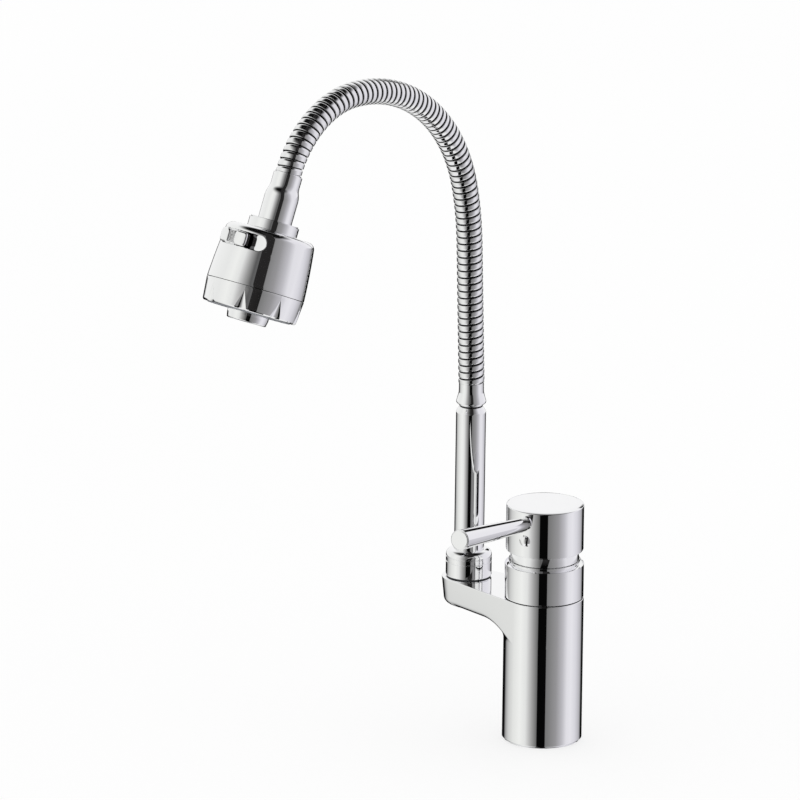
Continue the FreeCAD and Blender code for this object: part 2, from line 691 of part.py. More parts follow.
def down_tube(outer, inner, top, foot):
    return down([(inner, top), (outer, top), (outer, foot), (inner, foot)])


def upper_ferrule():
    return in_head(down([
        (INNER_HOSE_R + 0.2, -FERRULE_SPIGOT), (FERRULE_SPIGOT_R, -FERRULE_SPIGOT),
        (FERRULE_SPIGOT_R, 0.02), (7.9, 0.02),
        (8.4, 0.5), (8.4, 7.0), (9.1, 10.6, 8.58, 8.9), (NECK_FLARE_R, 14.4, 9.6, 12.4),
        (NECK_FLARE_R, 31.0), (10.9, 31.0), (10.9, 33.0), (7.0, 33.0), (7.0, 15.0),
        (INNER_HOSE_R + 0.2, 15.0)]))


def upper_nipple():
    barb = INNER_HOSE_BORE - 0.05
    profile = [(2.5, 1.0), (barb, 1.0)]
    for i in range(3):
        s = 3.0 + 3.4 * i
        profile += [(barb, s), (barb - 0.5, s + 0.7), (barb, s + 0.8)]
    profile += [(barb, 15.0), (6.9, 15.0), (6.9, 33.0), (6.0, 33.0), (6.0, 37.0), (4.9, 37.0),
                (4.9, 38.8), (6.0, 38.8), (6.0, 43.0), (2.5, 43.0)]
    return in_head(down(profile))


def head_o_ring():
    return in_head(o_ring(5.6, 0.48, -37.9))


def head_nut():
    return in_head(down([
        (NECK_FLARE_R + RUN, HEAD_NUT_TOP), (HEAD_NUT_R - 0.4, HEAD_NUT_TOP),
        (HEAD_NUT_R, HEAD_NUT_TOP + 0.4), (HEAD_NUT_R, SHELL_TOP - 0.7),
        (HEAD_NUT_R - 0.3, SHELL_TOP - 0.3), (12.4, SHELL_TOP - 0.3), (12.4, 37.4), (11.05, 37.4),
        (11.05, 30.8), (NECK_FLARE_R + RUN, 30.8)]))


def shell_radius(s):
    """Outer radius of the head's barrel, a shallow curve through three sizes."""
    t = (s - SHELL_TOP) / (SHELL_SEAM - SHELL_TOP)
    return SHELL_TOP_R + (SHELL_SEAM_R - SHELL_TOP_R) * (1.45 * t - 0.45 * t * t)


def rounded_slot(half_angle, top, foot, inner, outer):
    """Ring sector about the head's front with half-round ends, as a cutter."""
    middle = (top + foot) / 2
    height = foot - top
    ring = down_tube(outer, inner, top, foot)
    end_angle = math.degrees(height / 2 / outer)
    cutter = ring.common(sector(half_angle - end_angle, outer + 5, -foot - 1, -top + 1))
    for side in (-1, 1):
        end = rod(height / 2, V(0, -inner, -middle), V(0, -outer - 3, -middle))
        end.rotate(V(0, 0, 0), V(0, 0, 1), side * (half_angle - end_angle))
        cutter = cutter.fuse(end.common(down_tube(outer + 3, inner, top - 1, foot + 1)))
    return cutter


def head_shell():
    shoulder = 3.5
    mid = (SHELL_TOP + shoulder + SHELL_SEAM) / 2
    shell = down([
        (12.45, SHELL_TOP), (SHELL_TOP_R - shoulder, SHELL_TOP),
        (shell_radius(SHELL_TOP + shoulder), SHELL_TOP + shoulder,
         SHELL_TOP_R - shoulder * 0.29, SHELL_TOP + shoulder * 0.29),
        (SHELL_SEAM_R, SHELL_SEAM - 0.15, shell_radius(mid), mid),
        (SHELL_SEAM_R - 0.15, SHELL_SEAM), (SHELL_SEAM_R - SHELL_WALL, SHELL_SEAM),
        (SHELL_SEAM_R - SHELL_WALL, 71.0), (SHELL_BORE_R, 71.0), (SHELL_BORE_R, SEAT_TOP),
        (SLEEVE_R + 0.1, SEAT_TOP), (SLEEVE_R + 0.1, 37.4), (12.45, 37.4)])
    shell = shell.cut(rounded_slot(SLOT_HALF_ANGLE, SLOT_TOP, SLOT_FOOT, SLOT_FLOOR_R, 32))
    reach = BUTTON_TRAVEL + STEM_HALF_ANGLE + 0.4
    stem_slot = down_tube(30, 18, BUTTON_STEM[0] - 0.3, BUTTON_STEM[1] + 0.3)
    stem_slot = stem_slot.common(sector(reach, 40, -60, 0))
    return in_head(shell.cut(stem_slot))


def selector_button():
    """Slide with two smooth pads and a ribbed grip between them; its stem drives the sleeve."""
    top = SLOT_TOP + 0.4
    foot = SLOT_FOOT - 0.4
    inner = SLOT_FLOOR_R + 0.3
    pads = down_tube(BUTTON_R, inner, top, foot).common(sector(BUTTON_HALF_ANGLE, 50, -60, 0))
    edges = [e for e in pads.Edges
             if min(math.hypot(v.X, v.Y) for v in e.Vertexes) > BUTTON_R - 0.1]
    pads = pads.makeFillet(BUTTON_ROUND, edges)
    pads = pads.cut(down_tube(BUTTON_R + 5, BUTTON_R - GRIP_DEPTH, top - 1, foot + 1)
                    .common(sector(GRIP_HALF_ANGLE, 50, -60, 0)))
    for i in range(GRIP_RIBS):
        angle = (i - (GRIP_RIBS - 1) / 2) * 2 * GRIP_HALF_ANGLE / GRIP_RIBS
        rib = Part.makeBox(GRIP_RIB, 1.0, foot - top - 1.2,
                           V(-GRIP_RIB / 2, -BUTTON_R + 0.7, -foot + 0.6))
        rib.rotate(V(0, 0, 0), V(0, 0, 1), angle)
        pads = pads.fuse(rib)
    stem = down_tube(inner + 0.5, SLEEVE_R - 0.9, *BUTTON_STEM)
    button = pads.fuse(stem.common(sector(STEM_HALF_ANGLE, 40, -60, 0)))
    button.rotate(V(0, 0, 0), V(0, 0, 1), BUTTON_REST)
    return in_head(button)


def selector_sleeve():
    """Turning valve: a sleeve behind the slot, with a ported floor."""
    floor_top = 47.4
    inner = SLEEVE_R - SLEEVE_WALL
    sleeve = down([
        (inner, 37.6), (SLEEVE_R, 37.6), (SLEEVE_R, 38.0), (SLEEVE_R - 1.1, 38.0),
        (SLEEVE_R - 1.1, 39.2), (SLEEVE_R, 39.2), (SLEEVE_R, 44.4), (SLEEVE_R - 1.1, 44.4),
        (SLEEVE_R - 1.1, 45.6), (SLEEVE_R, 45.6), (SLEEVE_R, 49.4), (0, 49.4), (0, floor_top),
        (inner, floor_top)])
    socket = down_tube(SLEEVE_R + 1, SLEEVE_R - 1.0, BUTTON_STEM[0] - 0.1, BUTTON_STEM[1] + 0.1)
    sleeve = sleeve.cut(socket.common(sector(STEM_HALF_ANGLE + 0.2, 40, -60, 0)))
    for radius, angle in ((STREAM_PORT, -BUTTON_TRAVEL), (SPRAY_PORT, BUTTON_TRAVEL)):
        port = Part.makeCylinder(PORT_R, 10, V(0, -radius, -52))
        port.rotate(V(0, 0, 0), V(0, 0, 1), angle)
        sleeve = sleeve.cut(port)
    sleeve.rotate(V(0, 0, 0), V(0, 0, 1), BUTTON_REST)
    return in_head(sleeve)


def sleeve_o_ring(s):
    return in_head(o_ring(SLEEVE_R - 0.49, 0.55, -s))


def valve_seat():
    """Fixed seat under the sleeve, with the tube that divides stream from spray."""
    top = SEAT_TOP
    seat = down([
        (0, top), (SHELL_BORE_R - 0.1, top), (SHELL_BORE_R - 0.1, top + 4), (11.0, top + 4),
        (11.0, 79.0),
        (9.6, 79.0), (9.6, top + 4), (0, top + 4)])
    for radius in (STREAM_PORT, SPRAY_PORT):
        seat = seat.cut(Part.makeCylinder(PORT_R, 10, V(0, -radius, -top - 6)))
    return in_head(seat)


def notched_ring():
    """Grip ring under the seam, with pointed scallops round its lower edge."""
    low_round = 1.5
    inner = SHELL_SEAM_R - SHELL_WALL + 0.05
    ring = down([
        (inner, SHELL_SEAM + 0.2), (SHELL_SEAM_R - 0.15, SHELL_SEAM + 0.2),
        (SHELL_SEAM_R, SHELL_SEAM + 0.35),
        (RING_FOOT_R, RING_FOOT - low_round), (RING_FOOT_R - low_round, RING_FOOT,
                                               RING_FOOT_R - 0.44, RING_FOOT - 0.44),
        (24.6, RING_FOOT), (24.6, 80.2), (inner - 0.9, 80.2), (inner - 0.9, 71.2), (inner, 71.2)])
    depth = 2.0
    half_width = 3.9
    apex = SHELL_SEAM + 2.6
    length = RING_FOOT - apex + 1
    for i in range(NOTCHES):
        cone = Part.makeCone(0, half_width, length, V(0, -SHELL_SEAM_R - 0.35, -apex), V(0, 0, -1))
        cone.rotate(V(0, -SHELL_SEAM_R, -apex), V(1, 0, 0), -2.0)
        cone.rotate(V(0, 0, 0), V(0, 0, 1), 360 / NOTCHES * (i + 0.5) + NOTCH_TURN)
        ring = ring.cut(cone)
    return in_head(ring)


def spray_plate():
    """Outlet face with two rings of nozzle holes."""
    face = RING_FOOT + 0.5
    plate = down([(OUTLET_R + 0.25, 79.9), (24.45, 79.9), (24.45, face - 0.4), (24.0, face),
                  (OUTLET_R + 0.25, face)])
    for radius, count in ((16.0, 12), (20.5, 18)):
        for i in range(count):
            a = 2 * math.pi * i / count
            plate = plate.cut(Part.makeCylinder(0.95, 8, V(radius * math.cos(a), radius * math.sin(a), -86)))
    return in_head(plate)


def spray_nozzles():
    """Rubber mat behind the plate, with a nozzle through each hole."""
    mat = down_tube(24.3, OUTLET_R + 0.4, 79.0, 79.85)
    for radius, count in ((16.0, 12), (20.5, 18)):
        for i in range(count):
            a = 2 * math.pi * i / count
            place = V(radius * math.cos(a), radius * math.sin(a), -NOZZLE_END)
            mat = mat.fuse(Part.makeCylinder(0.85, NOZZLE_END - 79.4, place))
    return in_head(mat)


def outlet_ring():
    return in_head(down([
        (11.05, 75.5), (OUTLET_R, 75.5), (OUTLET_R, 84.6), (OUTLET_R - 0.7, OUTLET_FOOT - 0.5),
        (OUTLET_R - 1.2, OUTLET_FOOT), (9.7, OUTLET_FOOT), (9.7, 87.1), (10.4, 87.1),
        (10.4, 79.1), (11.05, 79.1)]))


def aerator_washer():
    return in_head(down_tube(10.3, 7.6, 79.15, 80.1))


def aerator():
    body = down([(0, 80.2), (10.3, 80.2), (10.3, 87.0), (9.5, 87.0), (9.5, 83.0), (0, 83.0)])
    holes = [(0.0, 0.0)]
    for radius, count in ((3.2, 6), (6.4, 12)):
        for i in range(count):
            a = 2 * math.pi * i / count
            holes.append((radius * math.cos(a), radius * math.sin(a)))
    for x, y in holes:
        body = body.cut(Part.makeCylinder(1.0, 12, V(x, y, -88)))
    screen = down_tube(9.6, 8.6, 84.2, 86.9)
    bars = []
    for i in range(-3, 4):
        bars.append(Part.makeBox(19, 0.7, 1.0, V(-9.5, i * 2.6 - 0.35, -86.2)))
        bars.append(Part.makeBox(0.7, 19, 1.0, V(i * 2.6 - 0.35, -9.5, -86.2)))
    grid = bars[0].multiFuse(bars[1:]).common(Part.makeCylinder(9.0, 4, V(0, 0, -88)))
    return in_head(body.fuse(screen.fuse(grid)))


NODES = {
    "body_casting": body_casting, "base_gasket": base_gasket, "swivel_washer": swivel_washer,
    "snap_ring": snap_ring, "cartridge_base": cartridge_base,
    "fixed_ceramic_disc": fixed_disc, "cartridge_housing": cartridge_housing,
    "cartridge_nut": cartridge_nut, "bonnet": bonnet, "cartridge_turret": cartridge_turret,
    "pivot_pin": pivot_pin, "moving_ceramic_disc": moving_disc, "disc_carrier": disc_carrier,
    "cartridge_stem": cartridge_stem, "handle_cap": handle_cap, "lever_rod": lever_rod,
    "handle_set_screw": handle_set_screw, "index_cap": index_cap, "swivel_collar": swivel_collar,
    "spigot_o_ring": spigot_o_ring, "riser_tube": riser_tube, "lower_nipple": lower_nipple,
    "nipple_o_ring": nipple_o_ring, "lower_ferrule": lower_ferrule, "inner_hose": inner_hose,
    "upper_ferrule": upper_ferrule, "upper_nipple": upper_nipple, "head_o_ring": head_o_ring,
    "head_nut": head_nut, "head_shell": head_shell, "selector_button": selector_button,
    "selector_sleeve": selector_sleeve, "valve_seat": valve_seat,
    "notched_ring": notched_ring, "spray_plate": spray_plate, "spray_nozzles": spray_nozzles,
    "outlet_ring": outlet_ring, "aerator_washer": aerator_washer, "aerator": aerator,
}


def main():
    os.makedirs(PARTS, exist_ok=True)
    for name, make in NODES.items():
        save(name, make())
    save("cartridge_seal_left", cartridge_seal(-1))
    save("cartridge_seal_right", cartridge_seal(1))
    save("sleeve_o_ring_upper", sleeve_o_ring(38.6))
    save("sleeve_o_ring_lower", sleeve_o_ring(45.0))
    for index in range(len(RIBS_PER_PIECE)):
        save(f"gooseneck_{index + 1}", gooseneck_piece(index))
    for place in flex_places():
        point, heading = hose_at(place)
        print("flex", round(point.y, 3), round(point.z, 3), round(math.degrees(heading), 2))
    point, heading = hose_at(sum(RIBS_PER_PIECE) * ROUTE_PITCH)
    print("hose end", round(point.y, 3), round(point.z, 3), round(math.degrees(heading), 2))


main()
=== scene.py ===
import json
import math

import bmesh
import bpy
from bpy.props import FloatProperty, IntProperty, PointerProperty, StringProperty
from mathutils import Matrix, Vector


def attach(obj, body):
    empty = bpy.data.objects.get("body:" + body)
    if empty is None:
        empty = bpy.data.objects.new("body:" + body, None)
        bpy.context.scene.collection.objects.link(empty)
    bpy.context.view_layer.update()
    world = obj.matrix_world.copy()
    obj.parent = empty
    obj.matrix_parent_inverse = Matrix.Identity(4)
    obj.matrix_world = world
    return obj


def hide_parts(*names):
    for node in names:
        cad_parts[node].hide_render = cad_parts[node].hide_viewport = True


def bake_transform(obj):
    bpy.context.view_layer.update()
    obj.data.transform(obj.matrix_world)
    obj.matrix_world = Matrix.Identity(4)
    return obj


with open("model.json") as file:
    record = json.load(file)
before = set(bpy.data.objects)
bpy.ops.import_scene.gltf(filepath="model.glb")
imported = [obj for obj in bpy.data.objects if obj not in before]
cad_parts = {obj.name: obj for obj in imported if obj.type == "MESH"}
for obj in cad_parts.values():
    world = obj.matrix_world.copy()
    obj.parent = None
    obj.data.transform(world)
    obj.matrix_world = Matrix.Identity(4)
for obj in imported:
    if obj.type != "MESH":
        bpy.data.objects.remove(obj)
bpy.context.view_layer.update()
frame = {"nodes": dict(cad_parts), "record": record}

bl_info = {
    "name": "Gooseneck bar faucet",
    "version": (1, 0, 0),
    "blender": (4, 5, 0),
    "location": "3D View > Sidebar > Faucet",
    "description": "Makes the polished pieces of a deck-mounted mixer tap with a ribbed gooseneck",
    "category": "Add Mesh",
}

# Places on the object, in millimetres. The body's axis is Z, its side arm runs along -X and
# the user stands at -Y.
MM = 0.001
ARM_LENGTH = 58.5
BODY_TOP = 85.4
FOOT_RECESS = (17.5, 20.0)
STUD_HOLE = (3.35, 14.0)
INLET_HOLE = (4.5, 12.0, 9.5)
PIVOT_Z = 107.4
CAP_FOOT, CAP_TOP = 113.9, 141.5
LEVER_TURN, LEVER_RISE, LEVER_Z = 10.3, 6.9, 134.0
INDEX_Z = 124.0
COLLAR_LINES = (94.4, 97.5)
COLLAR_TOP = 101.8
RISER_TOP = 187.4
HOSE_FOOT = 201.7
HOSE_LEAN = 2.4
HOSE_RUNS = ((83.6, 0.0), (190.5, 10.2), (96.0, 31.3), (100.7, 46.5), (58.5, 66.6))
RIBS = 78
FLEX_AT = (65.98, 131.55, 193.03, 254.51)
FLEX_REACH = 21.0
RIB_BREAKS = (0, 24, 40, 55, 78)
SHELL_TOP, SHELL_ROUND, SHELL_SEAM, RING_FOOT = 34.9, 3.6, 68.4, 82.4
SLOT_TOP, SLOT_FOOT, SLOT_HALF, SLOT_FLOOR, SLOT_SPREAD_R = 39.0, 48.0, 38.0, 23.6, 26.4
BUTTON_R, BUTTON_HALF, BUTTON_REST, GRIP_HALF, GRIP_RIBS = 30.3, 21.2, -6.0, 4.2, 5
NOTCHES, NOTCH_TURN = 8, 6.0
FACE_TOP, FACE_FOOT = 79.9, 82.9
OUTLET_FOOT = 88.1


# ---- sizes and finishes that a user may change ----
def length(label, told, size):
    return FloatProperty(name=label, description=told, default=size * MM, min=0.0001,
                         subtype="DISTANCE", unit="LENGTH", precision=5)


def share(label, told, value):
    return FloatProperty(name=label, description=told, default=value, min=0.0, max=1.0, subtype="FACTOR")


def paint(label, told, value):
    return StringProperty(name=label, description=told + ", as an sRGB hex value", default=value)


class FaucetSizes(bpy.types.PropertyGroup):
    body_radius: length("Body radius", "Radius of the upright body", 23.0)
    arm_end_radius: length("Arm end radius", "Radius of the round end of the side arm", 15.4)
    arm_thickness: length("Arm thickness", "Height of the side arm", 16.2)
    arm_edge: length("Arm edge", "Rounding of the arm's lower edge", 4.0)
    arm_blend: length("Arm blend", "Hollow blend between the arm's underside and the body", 9.0)
    bonnet_radius: length("Bonnet radius", "Ring between the body and the handle", 22.8)
    cap_radius: length("Cap radius", "Handle cap", 22.4)
    ball_radius: length("Ball radius", "Ball-shaped skirt under the handle cap", 20.0)
    lever_length: length("Lever length", "Lever outside the cap", 72.1)
    lever_root: length("Lever root radius", "Lever next to the cap", 4.15)
    lever_tip: length("Lever tip radius", "Lever at its flat tip", 6.0)
    collar_radius: length("Collar radius", "Swivel collar at the spout's foot", 13.25)
    riser_radius: length("Riser radius", "Upright tube", 8.65)
    hose_radius: length("Hose radius", "Crest of the hose's ribs", 7.5)
    rib_depth: length("Rib depth", "From a rib's crest to the groove's floor", 1.1)
    nut_radius: length("Head nut radius", "Nut above the spray head", 14.65)
    outlet_radius: length("Outlet radius", "Ring round the stream outlet", 12.2)
    facets: IntProperty(name="Turned facets", description="Facets round a turned piece", default=144, min=24)


class FaucetFinish(bpy.types.PropertyGroup):
    chrome: paint("Chrome", "Plated chrome on brass", "#FAFAFB")
    chrome_roughness: share("Chrome roughness", "Buffing haze of the plated chrome", 0.025)
    hose_chrome: paint("Hose chrome", "Plated steel strip", "#F7F7F8")
    hose_roughness: share("Hose roughness", "Rolled strip's haze under its plating", 0.07)
    # Painted shade: near black colour for the faces down in the hose's laps and inside gaps, where shade falls.
    lap: paint("Hose lap", "Oiled bare steel in the hose's laps", "#1C1C1D")
    brass: paint("Brass", "Bare turned brass", "#C9A95C")
    steel: paint("Steel", "Stainless spring steel", "#B9BBBD")
    acetal: paint("Acetal", "Moulded plastic of the cartridge", "#E4E3DC")
    alumina: paint("Alumina", "Lapped ceramic discs", "#EDE9DF")
    seal: paint("Seal rubber", "Moulded rubber rings and hose", "#1E1F21")
    washer: paint("Washer", "Plastic and fibre washers", "#34363A")
    face: paint("Spray face", "Moulded face of the head", "#8E9196")
    nozzle: paint("Nozzle rubber", "Silicone nozzles", "#6F7378")


class FaucetStage(bpy.types.PropertyGroup):
    azimuth: FloatProperty(name="View azimuth", description="Camera's side of the object",
                           default=math.radians(42.0), subtype="ANGLE", unit="ROTATION")
    elevation: FloatProperty(name="View elevation", description="Camera above the horizon",
                             default=math.radians(16.7), subtype="ANGLE", unit="ROTATION")
    roll: FloatProperty(name="View roll", description="Lean of the picture",
                        default=0.0145, subtype="ANGLE", unit="ROTATION")
    distance: length("View distance", "From the camera to the object", 16000.0)
    frame_width: length("Frame width", "Width seen at the object", 461.6)
    floor: paint("Floor", "Matt white floor", "#FFFFFF")
    light: FloatProperty(name="Light", description="Strength of the white room", default=1.0, min=0.0)


# ---- mesh tools ----
def rounded(points, closed=False):
    """Outline in (r, z) with its corners rounded. A point is (r, z) or (r, z, radius); each
    rounding has support points beside it, which keep the flats flat under smooth shading."""
    out = []
    count = len(points)
    for i, p in enumerate(points):
        here = Vector(p[:2])
        if len(p) == 2 or (not closed and i in (0, count - 1)):
            out.append(tuple(here))
            continue
        before = Vector(points[i - 1][:2]) - here
        after = Vector(points[(i + 1) % count][:2]) - here
        half = before.angle(after) / 2
        radius = p[2]
        back = radius / math.tan(half)
        a, b = before.normalized(), after.normalized()
        centre = here + (a + b).normalized() * radius / math.sin(half)
        sweep = math.pi - 2 * half
        steps = max(2, round(math.degrees(sweep) / 18))
        support = min(0.25, 0.3 * (before.length - back), 0.3 * (after.length - back))
        out.append(tuple(here + a * (back + support)))
        start = here + a * back - centre
        turn = 1 if start.x * b.y - start.y * b.x > 0 else -1
        for k in range(steps + 1):
            angle = turn * sweep * k / steps
            c, s = math.cos(angle), math.sin(angle)
            out.append((centre.x + c * start.x - s * start.y, centre.y + s * start.x + c * start.y))
        out.append(tuple(here + b * (back + support)))
    return out


def arc(centre, radius, start, end, steps):
    """Points of an arc in (r, z), angles in degrees from the r axis."""
    angles = [math.radians(start + (end - start) * k / steps) for k in range(steps + 1)]
    return [(centre[0] + radius * math.cos(a), centre[1] + radius * math.sin(a)) for a in angles]


def through(start, middle, end, steps):
    """Points of a gentle curve from start to end by way of middle."""
    a, m, b = Vector(start), Vector(middle), Vector(end)
    control = 2 * m - (a + b) / 2
    ts = [k / steps for k in range(steps + 1)]
    return [tuple((1 - t) ** 2 * a + 2 * t * (1 - t) * control + t * t * b) for t in ts]


def lathe(bm, outline, facets=None, place=None):
    """Turns a closed outline of (r, z) points about the Z axis, then moves it to its place."""
    facets = facets or bpy.context.scene.faucet_sizes.facets
    place = place or Matrix.Identity(4)
    rows = []
    for r, z in outline:
        if abs(r) < 1e-6:
            v = bm.verts.new(place @ Vector((0, 0, z)))
            rows.append([v] * facets)
            continue
        turn = [2 * math.pi * k / facets for k in range(facets)]
        rows.append([bm.verts.new(place @ Vector((r * math.cos(a), r * math.sin(a), z))) for a in turn])
    walls(bm, rows + rows[:1])


def face(bm, *verts):
    """Face over these corners, with repeated corners left out."""
    corners = []
    for v in verts:
        if v not in corners:
            corners.append(v)
    return bm.faces.new(corners) if len(corners) > 2 else None


def walls(bm, loops):
    """Bands of faces from each closed loop of vertices to the next."""
    for low, high in zip(loops, loops[1:]):
        for k in range(len(low)):
            n = (k + 1) % len(low)
            face(bm, low[k], low[n], high[n], high[k])


def skin(bm, rows):
    """Bands between closed rows of points. Returns the rows as vertices."""
    made = [[bm.verts.new(p) for p in row] for row in rows]
    walls(bm, made)
    return made


def ring_of(bm, centre, radius, z, count, place):
    """Loop of vertices round a centre, at height z."""
    turn = [2 * math.pi * k / count for k in range(count)]
    return [bm.verts.new(place @ Vector((centre[0] + radius * math.cos(a),
                                         centre[1] + radius * math.sin(a), z))) for a in turn]


def plate_with_holes(bm, rim, holes, z, place):
    """Flat face inside a rim of vertices, with round holes. holes are (x, y, radius, facets).
    Returns the vertices of each hole."""
    loops = [ring_of(bm, (x, y), r, z, count, place) for x, y, r, count in holes]
    edges = []
    for loop in [rim] + loops:
        for a, b in zip(loop, loop[1:] + loop[:1]):
            edges.append(bm.edges.get((a, b)) or bm.edges.new((a, b)))
    bmesh.ops.triangle_fill(bm, edges=edges, use_beauty=True)
    return loops


def bore(bm, loop, radius, centre, depths, place):
    """Wall of a round hole from its loop of vertices; depths are (radius factor, z)."""
    loops = [loop] + [ring_of(bm, centre, radius * factor, z, len(loop), place) for factor, z in depths]
    walls(bm, loops)
    return loops[-1]


def piece(name, bm, material, slot, body, *nodes, sharp=35):
    """Finished mesh as an object that rides on a body and stands for CAD nodes."""
    bmesh.ops.remove_doubles(bm, verts=bm.verts, dist=1e-4)
    bmesh.ops.recalc_face_normals(bm, faces=bm.faces)
    bmesh.ops.scale(bm, vec=(MM, MM, MM), verts=bm.verts)
    mesh = bpy.data.meshes.new(name)
    bm.to_mesh(mesh)
    bm.free()
    mesh.materials.append(bpy.data.materials[material])
    mesh.shade_smooth()
    mesh.set_sharp_from_angle(angle=math.radians(sharp))
    obj = bpy.data.objects.new(name, mesh)
    bpy.context.scene.collection.objects.link(obj)
    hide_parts(*nodes)
    if body:
        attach(obj, body)
    return obj


def paint_shade_in_gap(obj, inside):
    """Gives the faces that lie down in a gap, where shade falls, the near black material of painted
    shade. inside takes a face's centre in millimetres."""
    obj.data.materials.append(bpy.data.materials["painted_shade_in_laps_and_gaps"])
    for f in obj.data.polygons:
        if inside(f.center / MM):
            f.material_index = 1


def turned_piece(name, outline, body, *nodes, place=None, material="chrome_plated_polished_brass"):
    """Turned outline as a finished chrome piece."""
    bm = bmesh.new()
    lathe(bm, outline, place=place)
    return piece(name, bm, material, "chrome", body, *nodes)


# ---- materials ----
def linear(hex_value):
    """Linear colour of an sRGB hex value."""
    parts = [int(hex_value[i:i + 2], 16) / 255 for i in (1, 3, 5)]
    return tuple(c / 12.92 if c <= 0.04045 else ((c + 0.055) / 1.055) ** 2.4 for c in parts) + (1.0,)


def add(tree, kind, sockets=None, **settings):
    """Adds a node with its settings. sockets holds a value, or the output that feeds it, for each input."""
    made = tree.nodes.new(kind)
    for key, value in settings.items():
        setattr(made, key, value)
    for key, value in (sockets or {}).items():
        if isinstance(value, bpy.types.NodeSocket):
            tree.links.new(value, made.inputs[key])
        else:
            made.inputs[key].default_value = value
    return made


def surface(name, colour, tones, grain_mm, roughness, spread, bump_mm, stretch=(1, 1, 1), **shader):
    """Material of one finish. The colour varies by tones, its pattern has a real size in
    millimetres, roughness varies by spread, and bump_mm is the height of its relief."""
    material = bpy.data.materials.new(name)
    material.use_nodes = True
    tree = material.node_tree
    tree.nodes.clear()
    place = add(tree, "ShaderNodeTexCoord")
    scaled = add(tree, "ShaderNodeMapping", {"Vector": place.outputs["Object"], "Scale": stretch})
    grain = add(tree, "ShaderNodeTexNoise", {"Vector": scaled.outputs[0], "Scale": 1 / (grain_mm * MM),
                                             "Detail": 3.0, "Roughness": 0.55})
    rough = add(tree, "ShaderNodeMapRange", {"Value": grain.outputs["Fac"], "To Min": roughness - spread,
                                             "To Max": roughness + spread})
    low = tuple(c * (1 - tones) for c in colour[:3]) + (1.0,)
    tint = mixed(tree, grain.outputs["Fac"], low, colour)
    relief = add(tree, "ShaderNodeBump", {"Height": grain.outputs["Fac"], "Distance": bump_mm * MM})
    shade = add(tree, "ShaderNodeBsdfPrincipled", {"Base Color": tint, "Roughness": rough.outputs[0],
                                                   "Normal": relief.outputs[0], **shader})
    add(tree, "ShaderNodeOutputMaterial", {"Surface": shade.outputs[0]})
    return material


def mixed(tree, factor, a, b):
    """Colour between a and b."""
    made = add(tree, "ShaderNodeMix", data_type="RGBA")
    for socket, value in ((made.inputs[0], factor), (made.inputs[6], a), (made.inputs[7], b)):
        if isinstance(value, bpy.types.NodeSocket):
            tree.links.new(value, socket)
        else:
            socket.default_value = value
    return made.outputs[2]


class FAUCET_OT_finishes(bpy.types.Operator):
    """Makes the faucet's materials and gives them to the inner pieces"""
    bl_idname = "faucet.finishes"
    bl_label = "Finishes"

    def execute(self, context):
        f = context.scene.faucet_finish
        # Chromium plate over buffed brass: a mirror, with a faint unevenness left by the
        # buffing wheel and a haze that comes and goes over a few millimetres.
        surface("chrome_plated_polished_brass", linear(f.chrome), 0.02, 9.0, f.chrome_roughness, 0.01,
                0.002, Metallic=1.0)
        # Chromium plate over moulded ABS: as bright, with the mould's slightly softer reflections.
        surface("chrome_plated_moulded_abs", linear(f.chrome), 0.02, 12.0, f.chrome_roughness + 0.01, 0.01,
                0.003, Metallic=1.0)
        # Chromium plate over rolled steel strip, wound and interlocked: softer highlights with a
        # fine drawn grain round the hose.
        surface("chrome_plated_wound_steel_strip", linear(f.hose_chrome), 0.05, 1.2, f.hose_roughness, 0.03,
                0.004, Metallic=1.0)
        # Painted shade: a near black colour laid on the faces down in the hose's laps and inside the
        # gaps and the slot, where shade falls; it draws a fine dark line round each turn of the hose.
        surface("painted_shade_in_laps_and_gaps", linear(f.lap), 0.3, 0.6, 0.45, 0.1, 0.01, Metallic=0.6)
        # Bare turned brass: dull yellow, with fine turning marks.
        surface("turned_brass", linear(f.brass), 0.12, 0.8, 0.3, 0.06, 0.01, (0.2, 0.2, 4), Metallic=1.0)
        # Drawn stainless steel: grey, streaked along the draw.
        surface("drawn_stainless_steel", linear(f.steel), 0.1, 0.6, 0.28, 0.05, 0.006, (0.2, 0.2, 3),
                Metallic=1.0)
        # Moulded acetal: waxy off-white with a low sheen. Lapped alumina: cream and glossy.
        surface("moulded_acetal", linear(f.acetal), 0.06, 1.5, 0.42, 0.06, 0.01)
        surface("lapped_alumina", linear(f.alumina), 0.03, 0.4, 0.18, 0.04, 0.002)
        # Moulded rubber and pressed fibre: near black and matt, with a dusty bloom.
        surface("moulded_epdm_rubber", linear(f.seal), 0.25, 0.5, 0.62, 0.08, 0.02)
        surface("pressed_fibre_washer", linear(f.washer), 0.2, 0.5, 0.7, 0.08, 0.03)
        # Grey face of moulded ABS with a spark-eroded grain, and softer silicone nozzles in it.
        surface("moulded_abs_spray_face", linear(f.face), 0.05, 0.7, 0.38, 0.06, 0.015)
        surface("moulded_silicone_nozzle", linear(f.nozzle), 0.1, 0.6, 0.55, 0.06, 0.01)
        finishes = {"chrome": "chrome_plated_polished_brass", "brass": "turned_brass",
                    "stainless_steel": "drawn_stainless_steel", "cartridge_plastic": "moulded_acetal",
                    "ceramic": "lapped_alumina", "seal_rubber": "moulded_epdm_rubber",
                    "washer_plastic": "pressed_fibre_washer", "spray_face": "moulded_abs_spray_face",
                    "nozzle_rubber": "moulded_silicone_nozzle"}
        slots = {s["node"]: s["material_slot"] for s in frame["record"]["subparts"]}
        for name, obj in frame["nodes"].items():
            material = bpy.data.materials[finishes[slots[name]]]
            if not obj.material_slots:
                obj.data.materials.append(material)
            for holder in obj.material_slots:
                holder.material = material
        return {"FINISHED"}


